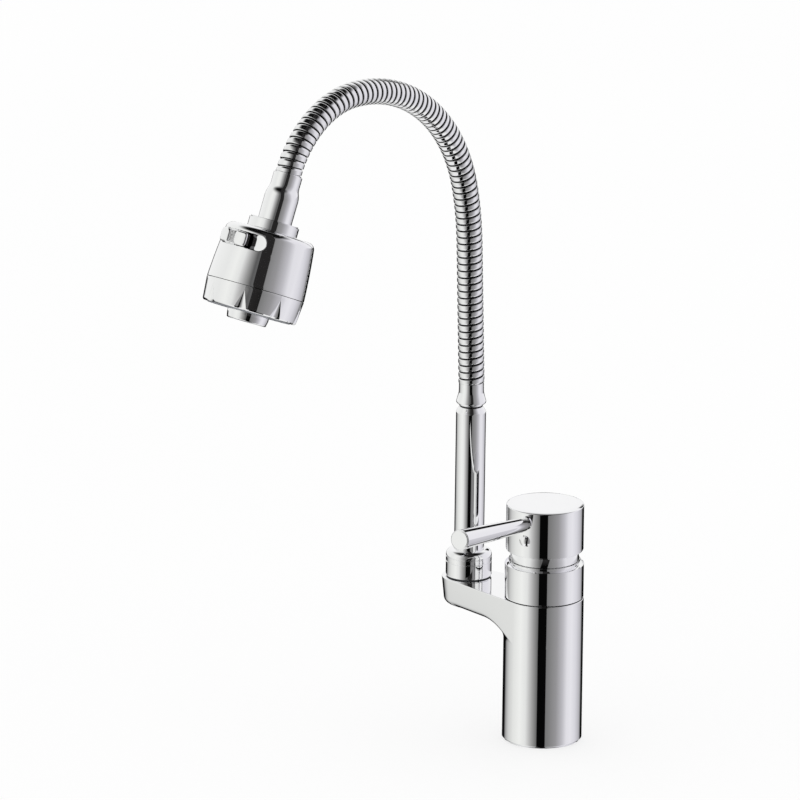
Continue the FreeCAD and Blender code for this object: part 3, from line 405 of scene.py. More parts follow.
# ---- body and arm ----
def swan_curve(gap, hollow, across, high):
    """Curve from a wall, out by gap and up, in (out, up): a hollow of one radius, then a swelling
    that is across by high, with a flat between them where there is room."""
    def parts(angle):
        turned = math.atan2(high * math.sin(angle), across * math.cos(angle))
        return turned, hollow * (1 - math.cos(angle)) + across * (1 - math.cos(turned))

    low, limit = 0.0, math.pi / 2
    for _ in range(40):
        middle = (low + limit) / 2
        if parts(middle)[1] < gap:
            low = middle
        else:
            limit = middle
    turned = parts(low)[0]
    flat = max(gap - parts(low)[1], 0.0)
    points = []
    for k in range(15):
        a = low * k / 14
        points.append((hollow * (1 - math.cos(a)), hollow * math.sin(a)))
    out, up = points[-1]
    points += [(out + flat * k / 4, up) for k in range(1, 4)]
    for k in range(11):
        a = turned * (1 - k / 10)
        points.append((gap - across * (1 - math.cos(a)), up + high * (math.sin(turned) - math.sin(a))))
    return points


class FAUCET_OT_body(bpy.types.Operator):
    """Makes the body with its side arm as one polished skin"""
    bl_idname = "faucet.body"
    bl_label = "Body and arm"

    def execute(self, context):
        sizes = context.scene.faucet_sizes
        radius = sizes.body_radius / MM
        end_r = sizes.arm_end_radius / MM
        blend = sizes.arm_blend / MM
        arm_foot = BODY_TOP - sizes.arm_thickness / MM
        blend_foot = arm_foot - blend
        lean = math.acos((radius - end_r) / ARM_LENGTH)
        plan = []
        for k in range(-36, 37):
            a = lean * k / 36
            plan.append((Vector((-ARM_LENGTH - end_r * math.cos(a), -end_r * math.sin(a))),
                         Vector((-math.cos(a), -math.sin(a)))))
        normal = Vector((-math.cos(lean), -math.sin(lean)))
        first, last = plan[-1][0], normal * radius
        for k in range(1, 24):
            t = (k / 24) ** 0.8
            plan.append((first.lerp(last, t), normal))
        for k in range(0, 97):
            a = lean + (2 * math.pi - 2 * lean) * k / 96
            n = Vector((-math.cos(a), -math.sin(a)))
            plan.append((n * radius, n))
        mirror = Vector((normal.x, -normal.y))
        for k in range(23, 0, -1):
            t = (k / 24) ** 0.8
            plan.append((Vector((first.x, -first.y)).lerp(mirror * radius, t), mirror))

        edge_r = sizes.arm_edge / MM
        columns = []
        for point, n in plan:
            base = point - n * 1.2 * min((point.length - radius) / 40, 1.0)
            way = base.normalized()
            gap = max(base.length - radius, 0.0)
            column = [(way * r, z) for r, z in rounded([(FOOT_RECESS[0], 0), (radius, 0, 1.3),
                                                        (radius, blend_foot - 20)])]
            column += [(way * (radius + r), blend_foot + z)
                       for r, z in swan_curve(gap, blend, edge_r / max(way.dot(n), 0.3), edge_r)]
            high = column[-1][1]
            edge = 0.4
            for t in (0.3, 1.0):
                z = high + (BODY_TOP - edge - 0.3 - high) * t
                column.append((base.lerp(point, t), z))
            for k in range(0, 5):
                a = math.pi / 2 * k / 4
                column.append((point - n * edge * (1 - math.cos(a)), BODY_TOP - edge * (1 - math.sin(a))))
            column.append((point - n * (edge + 0.3), BODY_TOP))
            rim = (point - n * (edge + 0.3))
            for k in range(1, 5):
                column.append((rim.lerp(rim.normalized() * 20.9, k / 4), BODY_TOP))
            away = rim.normalized()
            for r, z in ((20.8, 93.2), (19.1, 93.2), (19.1, 86.0), (9.0, 86.0)):
                column.append((away * r, z))
            columns.append([Vector((p.x, p.y, z)) for p, z in column])
        bm = bmesh.new()
        made = skin(bm, list(zip(*columns)))
        walls(bm, [made[-1], [bm.verts.new((0, 0, 86.0))] * len(made[-1])])
        # recess in the foot with the stud hole and the two inlets
        place = Matrix.Identity(4)
        depth = FOOT_RECESS[1]
        loops = [made[0]]
        for r, z in ((FOOT_RECESS[0], 0.4), (FOOT_RECESS[0], depth - 0.5), (FOOT_RECESS[0] - 0.5, depth)):
            loops.append([bm.verts.new(Vector((v.co.x, v.co.y, 0)).normalized() * r + Vector((0, 0, z)))
                          for v in made[0]])
        walls(bm, loops)
        x = INLET_HOLE[2]
        holes = [(0, 0, STUD_HOLE[0], 32), (x, 0, INLET_HOLE[0], 32), (-x, 0, INLET_HOLE[0], 32)]
        mouths = plate_with_holes(bm, loops[-1], holes, depth, place)
        for mouth, (hx, hy, r, _), deep in zip(mouths, holes, (STUD_HOLE[1], INLET_HOLE[1], INLET_HOLE[1])):
            pitch = 1.25 if hx == 0 else 1.0
            turns = [(1.0, depth + 0.3)]
            for k in range(int(deep / pitch)):
                z = depth + 0.4 + k * pitch
                turns += [(1.0, z), (1.07, z + pitch * 0.5)]
            turns.append((0.9, depth + deep))
            bm.faces.new(bore(bm, mouth, r, (hx, hy), turns, place))
        body = piece("body_with_side_arm", bm, "chrome_plated_polished_brass", "chrome", "body", "body_casting")
        # painted shade: the faces of the neck above the body's top, down in the gap under the bonnet, are near
        # black
        paint_shade_in_gap(body, lambda c: c.z > BODY_TOP + 0.01)
        bonnet = sizes.bonnet_radius / MM
        low = BODY_TOP + 0.45
        ring = turned_piece("bonnet_ring", rounded([
            (20.9, low), (bonnet, low, 0.25), (bonnet, 107.9, 2.3), (20.28, 107.9, 0.2), (20.28, 98.2),
            (20.9, 97.2)], True), "body", "bonnet")
        # painted shade: the bonnet's underside, which faces into that gap, is near black
        paint_shade_in_gap(ring, lambda c: c.z < low + 0.02)
        return {"FINISHED"}


# ---- handle ----
def to_lever():
    return Matrix.Rotation(math.radians(LEVER_TURN), 4, "Z")


class FAUCET_OT_handle(bpy.types.Operator):
    """Makes the handle cap with its ball skirt, the lever and the index plug"""
    bl_idname = "faucet.handle"
    bl_label = "Handle"

    def execute(self, context):
        sizes = context.scene.faucet_sizes
        ball = sizes.ball_radius / MM
        cap = sizes.cap_radius / MM
        join = math.degrees(math.asin((CAP_FOOT - PIVOT_Z) / ball))
        outline = arc((0, PIVOT_Z), ball - 1.8, 30, -23, 16)
        outline += arc((0, PIVOT_Z), ball, -23, join, 20)
        soft, slope = 15.0, 17.0
        drop = soft * (1 - math.cos(math.radians(slope)))
        rim = cap - 0.45
        outline += rounded([outline[-1], (cap, CAP_FOOT, 0.4), (cap, CAP_TOP - drop, 0.45),
                            (rim - 0.3, CAP_TOP - drop + 0.23)])[1:-1]
        centre = (rim - soft * math.sin(math.radians(slope)), CAP_TOP - soft)
        outline += arc(centre, soft, 90 - slope, 90, 8) + [(0.0, CAP_TOP)]
        outline += [(0.0, outline[0][1])]
        turned_piece("handle_cap_with_ball_skirt", outline, "handle", "handle_cap")
        rise = math.radians(LEVER_RISE)
        start = Matrix.Translation((0, -cap, LEVER_Z))
        along = Matrix.Rotation(math.radians(90) - rise, 4, "X")
        reach = sizes.lever_length / MM
        root, tip = sizes.lever_root / MM, sizes.lever_tip / MM
        turned_piece("lever", rounded([
            (0.0, -3.0), (root - 0.6, -3.0, 0.2), (root - 0.6, 2.0, 0.3), (root, 2.7, 0.3), (tip, reach, 0.6),
            (0.0, reach)]), "handle", "lever_rod", place=to_lever() @ start @ along)
        dome = [(0.0, 0.0), (3.9, 0.0)] + arc((0, 3.5), 4.35, 26, 90, 14)
        plug = Matrix.Translation((0, -cap + 6.1, INDEX_Z)) @ Matrix.Rotation(math.radians(90), 4, "X")
        turned_piece("index_plug", dome, "handle", "index_cap", place=to_lever() @ plug)
        return {"FINISHED"}


# ---- spout up to the hose ----
class FAUCET_OT_riser(bpy.types.Operator):
    """Makes the swivel collar, the riser tube and the hose's lower end piece"""
    bl_idname = "faucet.riser"
    bl_label = "Collar and riser"

    def execute(self, context):
        sizes = context.scene.faucet_sizes
        at = Matrix.Translation((-ARM_LENGTH, 0, 0))
        c = sizes.collar_radius / MM
        r = sizes.riser_radius / MM
        side = [(9.0, 86.05), (c, 86.05, 0.3)]
        for z in COLLAR_LINES:
            side += [(c, z - 0.15, 0.1), (c - 0.34, z, 0.05), (c - 0.34, z + 0.3, 0.05), (c, z + 0.45, 0.1)]
        shoulder = through((c, 98.1), (c - 0.5, COLLAR_TOP - 1.9), (c - 1.65, COLLAR_TOP - 0.5), 10)
        turned_piece("swivel_collar", rounded(side + [(c, 98.05)]) + shoulder + [
            (r + 0.5, COLLAR_TOP - 0.05), (r + 0.02, COLLAR_TOP), (r + 0.02, 95.0), (9.0, 94.0)],
            "spout", "swivel_collar", place=at)
        turned_piece("riser", rounded([
            (r - 1.0, 92.0), (r, 92.0, 0.2), (r, RISER_TOP - 3.2, 1.2), (6.7, RISER_TOP, 0.2),
            (5.6, RISER_TOP), (r - 1.0, RISER_TOP - 4.8)], True), "spout", "riser_tube", place=at)
        low = RISER_TOP + 0.3
        end = turned_piece(
            "hose_end_lower",
            rounded([(5.4, low), (6.75, low, 0.1), (6.8, low + 0.5, 0.1), (8.65, low + 2.1, 0.8),
                     (8.65, low + 3.4)])[:-1]
            + through((8.64, low + 2.9), (7.85, 193.4), (7.3, 195.8), 12)[:-1]
            + through((7.3, 195.8), (7.22, 197.2), (7.2, 199.0), 5)
            + rounded([(7.2, 199.0), (7.2, HOSE_FOOT, 0.2), (5.62, HOSE_FOOT)])[1:]
            + [(5.62, HOSE_FOOT + 4.0), (5.3, HOSE_FOOT + 4.0)], "spout", "lower_ferrule", place=at)
        # painted shade: the faces down in the groove between the riser and the hose's end piece are near black
        paint_shade_in_gap(end, lambda c: c.z < low + 0.5)
        return {"FINISHED"}


# ---- gooseneck ----
def hose_length():
    return HOSE_RUNS[0][0] + sum(math.radians(turn) * r for r, turn in HOSE_RUNS[1:])


def hose_at(s):
    """Point on the hose's centre line, in millimetres, and its heading from upright."""
    y, z, heading = 0.0, HOSE_FOOT, math.radians(HOSE_LEAN)
    for i, (size, turn) in enumerate(HOSE_RUNS):
        run = size if i == 0 else math.radians(turn) * size
        step = s if i == len(HOSE_RUNS) - 1 or s < run else run
        if i == 0:
            y -= step * math.sin(heading)
            z += step * math.cos(heading)
        else:
            after = heading + step / size
            y -= (math.cos(heading) - math.cos(after)) * size
            z += (math.sin(after) - math.sin(heading)) * size
            heading = after
        s -= step
        if s <= 0:
            break
    return Vector((-ARM_LENGTH, y, z)), heading


# One rib over one pitch, as (share of the pitch, share of the rib's depth): out of the narrow
# lap groove, up a slope and along the flat back of the strip, whose edge drops into the next.
RIB_OUTLINE = ((0.0, 0.0), (0.022, 0.0), (0.032, 0.3), (0.1, 0.46), (0.2, 0.7), (0.29, 0.9), (0.35, 0.98),
               (0.41, 1.0), (0.6, 1.0), (0.84, 1.0), (0.9, 0.985), (0.93, 0.93), (0.945, 0.7), (0.955, 0.0))
RIB_LAP = (12, 13, 0, 1)     # the steps of the outline that lie in the lap groove


class FAUCET_OT_gooseneck(bpy.types.Operator):
    """Makes the flexible hose as a right-handed wound strip, one length per flexing place"""
    bl_idname = "faucet.gooseneck"
    bl_label = "Gooseneck"

    def execute(self, context):
        sizes = context.scene.faucet_sizes
        crest, depth = sizes.hose_radius / MM, sizes.rib_depth / MM
        whole = hose_length()
        pitch = whole / RIBS
        around = 48
        per_rib = len(RIB_OUTLINE)
        nodes = (("gooseneck_1",), ("gooseneck_2",), ("gooseneck_3",), ("gooseneck_4", "gooseneck_5"))
        for part, place in enumerate(FLEX_AT):
            first, last = RIB_BREAKS[part] or -1, RIB_BREAKS[part + 1]
            bm = bmesh.new()
            grid = {}

            def corner(i, j):
                """Vertex i along the strip and j round the hose; one turn is one pitch."""
                if j == around:
                    i, j = i + per_rib, 0
                if (i, j) not in grid:
                    share, height = RIB_OUTLINE[i % per_rib]
                    s = (i // per_rib + share + j / around) * pitch
                    r = crest - depth * (1 - height)
                    point, heading = hose_at(min(max(s, 0.25), whole - 0.05))
                    a = 2 * math.pi * j / around
                    out = Vector((math.cos(a), math.sin(a) * math.cos(heading), math.sin(a) * math.sin(heading)))
                    grid[i, j] = bm.verts.new(point + r * out)
                return grid[i, j]

            for i in range(first * per_rib, last * per_rib):
                for j in range(around):
                    made = face(bm, corner(i, j), corner(i, j + 1), corner(i + 1, j + 1), corner(i + 1, j))
                    # faces down in the lap groove take the second material, a near black painted shade
                    if made and i % per_rib in RIB_LAP:
                        made.material_index = 1
            obj = piece("gooseneck_wound_strip_" + str(part + 1), bm, "chrome_plated_wound_steel_strip",
                        "chrome", None, *nodes[part], sharp=60)
            obj.data.materials.append(bpy.data.materials["painted_shade_in_laps_and_gaps"])
            hose_at(place - FLEX_REACH)[0] * MM
            hose_at(place + FLEX_REACH)[0] * MM
            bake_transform(obj)
        return {"FINISHED"}


# ---- spray head ----
def head_place():
    """The head is made with its axis down -Z from the hose's end; this puts it on the hose."""
    point, heading = hose_at(hose_length())
    return Matrix.Translation(point) @ Matrix.Rotation(heading - math.pi, 4, "X")


def down(points):
    """Outline measured down the head's axis."""
    return [(r, -s) for r, s in points]


def on_head(place, angle, s, r):
    """Point at an angle in degrees round the head's axis, s down it and r from it."""
    a = math.radians(angle)
    return place @ Vector((r * math.sin(a), -r * math.cos(a), -s))


def barrel_radius(s):
    """Outer radius of the barrel at s down the axis, with its rounded shoulder."""
    t = (s - SHELL_TOP) / (SHELL_SEAM - SHELL_TOP)
    wall = 25.7 + 3.05 * (1.45 * t - 0.45 * t * t)
    if s < SHELL_TOP + SHELL_ROUND:
        dip = SHELL_ROUND - (s - SHELL_TOP)
        wall -= SHELL_ROUND - math.sqrt(max(SHELL_ROUND ** 2 - dip ** 2, 0.0))
    return wall


class FAUCET_OT_barrel(bpy.types.Operator):
    """Makes the hose's upper end piece, the head's nut and its barrel with the selector's slot"""
    bl_idname = "faucet.barrel"
    bl_label = "Barrel of the head"

    def execute(self, context):
        sizes = context.scene.faucet_sizes
        place = head_place()
        neck = rounded([(5.4, 0.05), (8.4, 0.05, 0.5), (8.4, 6.0)])
        neck += through((8.4, 7.0), (8.58, 8.9), (9.1, 10.6), 6)
        neck += through((9.1, 10.6), (9.6, 12.4), (9.85, 14.6), 6)[1:]
        neck += [(9.85, 15.2), (9.85, 30.0), (7.2, 30.0), (7.2, 15.0), (5.4, 14.0)]
        turned_piece("hose_end_upper", down(neck), "neck_5", "upper_ferrule", place=place)
        nut = sizes.nut_radius / MM
        turned_piece("head_nut", down(rounded([(9.92, 28.4), (nut, 28.4, 0.5), (nut, 34.2, 0.3), (nut - 0.6, 34.75),
                                               (9.92, 34.75)], True)), "head", "head_nut", place=place)
        # barrel: a grid in (angle, length down the axis). The faces of its field in front are left
        # out, and loops run from the field's edge to the rim of the slot and into it.
        step, half = 2.0, 56.0
        top_row, low_row, field_foot = 3, 22, 51.0
        mid = (SLOT_TOP + SLOT_FOOT) / 2
        end_r = (SLOT_FOOT - SLOT_TOP) / 2
        per_degree = math.radians(1) * SLOT_SPREAD_R
        straight = SLOT_HALF * per_degree - end_r
        rows = [SHELL_TOP + SHELL_ROUND * (1 - math.cos(math.radians(90 * k / 12))) for k in range(13)]
        rows += [rows[-1] + (field_foot - rows[-1]) * k / 10 for k in range(1, 11)]
        rows += [rows[-1] + (SHELL_SEAM - 0.3 - rows[-1]) * k / 12 for k in range(1, 13)]
        degrees = [step * k for k in range(int(360 / step))]
        bm = bmesh.new()

        def floor_radius(angle):
            """Floor of the slot, which sweeps up towards its two ends."""
            return SLOT_FLOOR + 0.0057 * max(abs(angle) - 16, 0.0) ** 2

        grid = {}
        for i, s in enumerate(rows):
            for j, d in enumerate(degrees):
                grid[i, j] = bm.verts.new(on_head(place, d, s, barrel_radius(s)))
        count = len(degrees)
        edge_j = int(half / step)
        for i in range(len(rows) - 1):
            for j in range(count):
                if not (top_row <= i < low_row and (j < edge_j or j >= count - edge_j)):
                    n = (j + 1) % count
                    face(bm, grid[i, j], grid[i, n], grid[i + 1, n], grid[i + 1, j])
        # boundary of the opening's field, clockwise from its top left corner
        field = [(top_row, j) for j in range(-edge_j, edge_j)]
        field += [(i, edge_j) for i in range(top_row, low_row)]
        field += [(low_row, j) for j in range(edge_j, -edge_j, -1)]
        field += [(i, -edge_j) for i in range(low_row, top_row, -1)]
        flat = [Vector((j * step * per_degree, rows[i])) for i, j in field]
        slot_edge = []
        for p in flat:
            near = Vector((max(-straight, min(straight, p.x)), mid))
            away = (p - near).normalized()
            slot_edge.append((near, near + away * end_r, away))
        # loops of points, each with what gives the radius at a point
        loops = [([(e + away * 0.35).lerp(p, share) for p, (near, e, away) in zip(flat, slot_edge)],
                  lambda p: barrel_radius(p.y))
                 for share in (0.8, 0.6, 0.42, 0.26, 0.13, 0.05, 0.0)]
        loops += [([e + away * out for near, e, away in slot_edge], lambda p, sunk=sunk: barrel_radius(p.y) - sunk)
                  for out, sunk in ((0.12, 0.04), (0.03, 0.13), (0.0, 0.3), (0.0, 0.6))]
        loops += [([near.lerp(e, scale) for near, e, away in slot_edge],
                   lambda p, rise=rise: floor_radius(p.x / per_degree) + rise)
                  for scale, rise in ((1.0, 0.1), (0.9, 0.0), (0.6, 0.0), (0.3, 0.0), (0.0, 0.0))]
        walls(bm, [[grid[i, j % count] for i, j in field]]
              + [[bm.verts.new(on_head(place, p.x / per_degree, p.y, radius(p))) for p in points]
                 for points, radius in loops])
        # top face, lower lip and inside
        for outline, edge in (([(21.7, SHELL_TOP), (13.0, SHELL_TOP), (12.45, SHELL_TOP + 0.4), (12.45, 37.0)], 0),
                              ([(28.72, SHELL_SEAM - 0.1), (28.55, SHELL_SEAM), (26.6, SHELL_SEAM), (26.6, 71.0),
                                (24.8, 71.0), (24.8, 49.6), (21.3, 49.6), (21.3, 37.4), (12.45, 37.0)],
                               len(rows) - 1)):
            walls(bm, [[grid[edge, j] for j in range(count)]]
                  + [[bm.verts.new(on_head(place, d, s, r)) for d in degrees] for r, s in outline])
        barrel = piece("barrel_with_slot", bm, "chrome_plated_moulded_abs", "chrome", "head", "head_shell")
        back = place.inverted()

        def inside(c):
            p = back @ c
            r, s = p.xy.length, -p.z
            angle = math.degrees(math.atan2(p.x, -p.y))
            wall = abs(s - mid) < end_r + 0.2 and abs(angle) < SLOT_HALF + 1
            return (s > SHELL_SEAM - 0.02 and r < 27.6
                    or wall and floor_radius(angle) + 0.3 < r < barrel_radius(s) - 0.25)

        # painted shade: the inside of the lower lip and the walls of the slot are near black
        paint_shade_in_gap(barrel, inside)
        return {"FINISHED"}


def rounded_box(bm, x, s, h, radius, place, spread):
    """Box bent round the head's axis, in an empty mesh: x in degrees, s down the axis, h its radii.
    Its corners and its edges away from the axis are rounded."""
    made = bmesh.ops.create_cube(bm, size=1.0)["verts"]
    for v in made:
        v.co = Vector(((x[0] + x[1]) / 2 * spread + v.co.x * (x[1] - x[0]) * spread,
                       (s[0] + s[1]) / 2 + v.co.y * (s[1] - s[0]),
                       (h[0] + h[1]) / 2 + v.co.z * (h[1] - h[0])))
    corners = [e for e in bm.edges if abs(e.verts[0].co.z - e.verts[1].co.z) > 0.1]
    bmesh.ops.bevel(bm, geom=corners, offset=2 * radius, segments=6, profile=0.5, affect="EDGES",
                    clamp_overlap=True)
    brow = [e for e in bm.edges if min(v.co.z for v in e.verts) > h[1] - 1e-3]
    bmesh.ops.bevel(bm, geom=brow, offset=radius, segments=5, profile=0.5, affect="EDGES", clamp_overlap=True)
    cuts = max(1, int((x[1] - x[0]) / 1.5))
    for k in range(1, cuts):
        at = (x[0] + (x[1] - x[0]) * k / cuts) * spread
        bmesh.ops.bisect_plane(bm, geom=bm.verts[:] + bm.edges[:] + bm.faces[:], plane_co=(at, 0, 0),
                               plane_no=(1, 0, 0))
    for v in bm.verts:
        v.co = on_head(place, v.co.x / spread, v.co.y, v.co.z)


class FAUCET_OT_selector(bpy.types.Operator):
    """Makes the selector button: two smooth pads with a ribbed finger grip between them"""
    bl_idname = "faucet.selector"
    bl_label = "Selector button"

    def execute(self, context):
        place = head_place()
        turned_place = place @ Matrix.Rotation(math.radians(BUTTON_REST), 4, "Z")
        spread = math.radians(1) * BUTTON_R
        top, foot = SLOT_TOP + 0.4, SLOT_FOOT - 0.4
        bm = bmesh.new()
        parts = [((-BUTTON_HALF, -GRIP_HALF), (top, foot), (26.1, BUTTON_R), 1.2),
                 ((GRIP_HALF, BUTTON_HALF), (top, foot), (26.1, BUTTON_R), 1.2),
                 ((-GRIP_HALF - 1.5, GRIP_HALF + 1.5), (top + 0.1, foot - 0.1), (26.2, BUTTON_R - 1.5), 0.3)]
        for k in range(GRIP_RIBS):
            a = (k - (GRIP_RIBS - 1) / 2) * 2 * GRIP_HALF / GRIP_RIBS
            parts.append(((a - 0.43, a + 0.43), (top + 0.6, foot - 0.6), (BUTTON_R - 1.8, BUTTON_R - 0.7), 0.2))
        for x, s, h, radius in parts:
            one = bmesh.new()
            rounded_box(one, x, s, h, radius, turned_place, spread)
            mesh = bpy.data.meshes.new("part")
            one.to_mesh(mesh)
            one.free()
            bm.from_mesh(mesh)
            bpy.data.meshes.remove(mesh)
        piece("selector_slide", bm, "chrome_plated_moulded_abs", "chrome", "selector", "selector_button")
        return {"FINISHED"}


class FAUCET_OT_outlet(bpy.types.Operator):
    """Makes the notched ring, the spray face and the outlet ring"""
    bl_idname = "faucet.outlet"
    bl_label = "Outlet of the head"

    def execute(self, context):
        sizes = context.scene.faucet_sizes
        place = head_place()
        seam_r, foot_r = 28.75, 27.7
        apex, half_width, drop = SHELL_SEAM + 2.6, 4.1, RING_FOOT - SHELL_SEAM - 1.6
        sharp = math.radians(42)    # slope of a notch's wall at its edge
        outline = [(28.35, SHELL_SEAM + 0.2), (28.6, SHELL_SEAM + 0.2), (28.72, SHELL_SEAM + 0.3)]
        outline += [(seam_r - (seam_r - foot_r) * t, SHELL_SEAM + 0.5 + (12.0) * t) for t in
                    [0.0, 0.12] + [0.165 + 0.835 * k / 16 for k in range(17)]]
        outline += [(27.7, 81.0), (27.6, 81.55), (27.25, 82.05), (26.7, 82.35), (26.2, RING_FOOT),
                    (25.6, RING_FOOT)]
        sector = 360 / NOTCHES
        inner = [k / 6 for k in range(-6, 7)]
        bm = bmesh.new()
        rows = []
        for r, s in outline:
            wide = max(half_width * max(s - apex, 0.0) / drop, 0.02)
            cutter = wide / math.sin(sharp)
            edge_angle = math.degrees(math.asin(min(wide / r, 1.0)))
            rest = sector / 2 - edge_angle
            points = []
            for i in range(NOTCHES):
                centre = sector * (i + 0.5) + NOTCH_TURN
                for k in inner:
                    d = edge_angle * k
                    x = r * math.sin(math.radians(d))
                    deep = r + cutter * math.cos(sharp) - math.sqrt(cutter ** 2 - x ** 2)
                    points.append((centre + d, min(r, deep / math.cos(math.radians(d))) if abs(k) < 1 else r))
                points += [(centre + edge_angle + 2 * rest * k / 12, r) for k in range(1, 12)]
            rows.append([on_head(place, angle, s, reach) for angle, reach in points])
        for r, s in ((24.6, RING_FOOT), (24.6, 80.2), (26.0, 80.2), (26.0, 71.2), (26.65, SHELL_SEAM + 0.2)):
            rows.append([on_head(place, angle, s, r) for angle, reach in points])
        rows.append(rows[0])
        skin(bm, rows)
        piece("notched_grip_ring", bm, "chrome_plated_moulded_abs", "chrome", "head", "notched_ring", sharp=24)

        bm = bmesh.new()
        facets = 96
        holes = []
        for ring_r, number in ((16.0, 12), (20.5, 18)):
            for k in range(number):
                a = 2 * math.pi * k / number
                holes.append((ring_r * math.cos(a), ring_r * math.sin(a), 0.95, 16))
        holes.append((0, 0, 12.45, facets))
        rims = [ring_of(bm, (0, 0), r, -s, facets, place) for r, s in
                ((24.0, FACE_FOOT), (24.3, FACE_FOOT - 0.1), (24.45, FACE_FOOT - 0.4), (24.45, 80.2),
                 (24.3, 79.95), (24.0, FACE_TOP))]
        walls(bm, rims)
        low = plate_with_holes(bm, rims[0], holes, -FACE_FOOT, place)
        high = plate_with_holes(bm, rims[-1], holes, -FACE_TOP, place)
        for pair in zip(low, high):
            walls(bm, pair)
        piece("spray_face_plate", bm, "moulded_abs_spray_face", "spray_face", "head", "spray_plate", sharp=30)

        bm = bmesh.new()
        lathe(bm, down([(12.6, 79.85), (12.6, 79.0), (24.3, 79.0), (24.3, 79.85)]), place=place)
        for x, y, _, _ in holes[:-1]:
            tip = FACE_FOOT + 0.1
            at = place @ Matrix.Translation((x, y, 0))
            lathe(bm, down([(0.85, 79.5), (0.85, tip - 0.3), (0.7, tip - 0.05), (0.5, tip), (0.35, tip - 0.1),
                            (0.3, 79.5)]), facets=16, place=at)
        piece("spray_nozzle_mat", bm, "moulded_silicone_nozzle", "nozzle_rubber", "head", "spray_nozzles", sharp=30)

        o = sizes.outlet_radius / MM
        turned_piece("outlet_ring", down(rounded([
            (11.1, 77.0), (o, 77.0, 0.3), (o, 84.6, 1.0), (o - 0.7, OUTLET_FOOT, 0.7), (9.75, OUTLET_FOOT, 0.3),
            (9.75, 87.1, 0.1), (10.45, 87.1), (10.45, 79.1), (11.1, 79.1)], True)), "head", "outlet_ring",
            place=place, material="chrome_plated_moulded_abs")
        return {"FINISHED"}


# ---- stage ----
class FAUCET_OT_stage(bpy.types.Operator):
    """Makes the white floor, the studio round the object and the camera"""
    bl_idname = "faucet.stage"
    bl_label = "Stage"

    def execute(self, context):
        scene = context.scene
        stage = scene.faucet_stage
        scene.view_settings.view_transform = "Standard"
        a, e = stage.azimuth, stage.elevation
        right = Vector((math.cos(a), math.sin(a), 0))
        up = Vector((-math.sin(a) * math.sin(e), math.cos(a) * math.sin(e), math.cos(e)))
        back = Vector((math.sin(a) * math.cos(e), -math.cos(a) * math.cos(e), math.sin(e)))
        across = (right + stage.roll * up).normalized()
        upward = (up - stage.roll * right).normalized()
        target = (across * -0.1770 + upward * 0.4216) * stage.frame_width
        camera = bpy.data.cameras.new("camera")
        camera.sensor_width = 36.0
        camera.lens = 36.0 * stage.distance / stage.frame_width
        camera.clip_end = 200.0
        viewer = bpy.data.objects.new("camera", camera)
        scene.collection.objects.link(viewer)
        viewer.matrix_world = Matrix.Translation(target + back * stage.distance) @ Matrix(
            (across, upward, back)).transposed().to_4x4()
        scene.camera = viewer

        bm = bmesh.new()
        bmesh.ops.create_grid(bm, x_segments=8, y_segments=8, size=12.0)
        mesh = bpy.data.meshes.new("floor")
        bm.to_mesh(mesh)
        bm.free()
        floor = bpy.data.objects.new("floor", mesh)
        floor.location.z = -0.0002
        floor.visible_glossy = False
        scene.collection.objects.link(floor)
        material = bpy.data.materials.new("matt_painted_floor")
        material.use_nodes = True
        tree = material.node_tree
        tree.nodes.clear()
        paint_grain = add(tree, "ShaderNodeTexNoise", {"Scale": 40.0})
        tone = mixed(tree, paint_grain.outputs["Fac"], linear("#FDFDFD"), linear(stage.floor))
        matt = add(tree, "ShaderNodeBsdfDiffuse", {"Color": tone})
        glow = add(tree, "ShaderNodeEmission", {"Color": tone, "Strength": 1.0})
        lit = add(tree, "ShaderNodeMapRange", {"Value": add(tree, "ShaderNodeLightPath").outputs["Is Camera Ray"],
                                               "To Max": 0.7})
        both = add(tree, "ShaderNodeMixShader", {0: lit.outputs[0], 1: matt.outputs[0], 2: glow.outputs[0]})
        add(tree, "ShaderNodeOutputMaterial", {"Surface": both.outputs[0]})
        mesh.materials.append(material)
        studio(scene, right, Vector((back.x, back.y, 0)).normalized(), stage.light)
        return {"FINISHED"}


# Studio seen by polished metal: tones round the horizon, as (degrees from the camera's side
# towards the right, sRGB tone). A dark board stands low behind the object, with a bright wall
# over it.
FRONT_TONES = ((-69, "#F3F4F1"), (-50, "#E6E7E5"), (-40, "#C6C6C5"), (-30, "#A2A2A1"), (-20, "#7C7C7B"),
               (-14, "#5A5A5A"), (8, "#747474"), (20, "#828282"), (40, "#989799"), (60, "#C0BFC4"), (75, "#E4E3E8"))
STUDIO_RING = ((-180, "#0A0A0A"), (-141, "#0C0C0C"), (-137, "#787878"), (-130, "#A5A5A4"), (-115, "#CFD0CE"),
               (-95, "#E6E7E4")) + FRONT_TONES + (
    (90, "#EAE9EE"), (110, "#DBDAE0"), (134, "#B5B4B9"), (141, "#8A8A8C"), (145, "#0C0C0C"), (180, "#0A0A0A"))
UPPER_RING = ((-180, "#FAFAFA"), (-115, "#EFF0EE"), (-95, "#EBECEA")) + FRONT_TONES + (
    (110, "#EAE9EE"), (180, "#FAFAFA"))


def toned(tree, share, tones, low, high):
    """Ramp over share of the tones, given as (place, sRGB hex) with places from low to high."""
    ramp = add(tree, "ShaderNodeValToRGB", {"Fac": share})
    stops = ramp.color_ramp.elements
    stops.remove(stops[-1])
    for k, (place, tone) in enumerate(tones):
        at = (place - low) / (high - low)
        stop = stops[0] if k == 0 else stops.new(at)
        stop.position = at
        stop.color = linear(tone)
    return ramp.outputs[0]


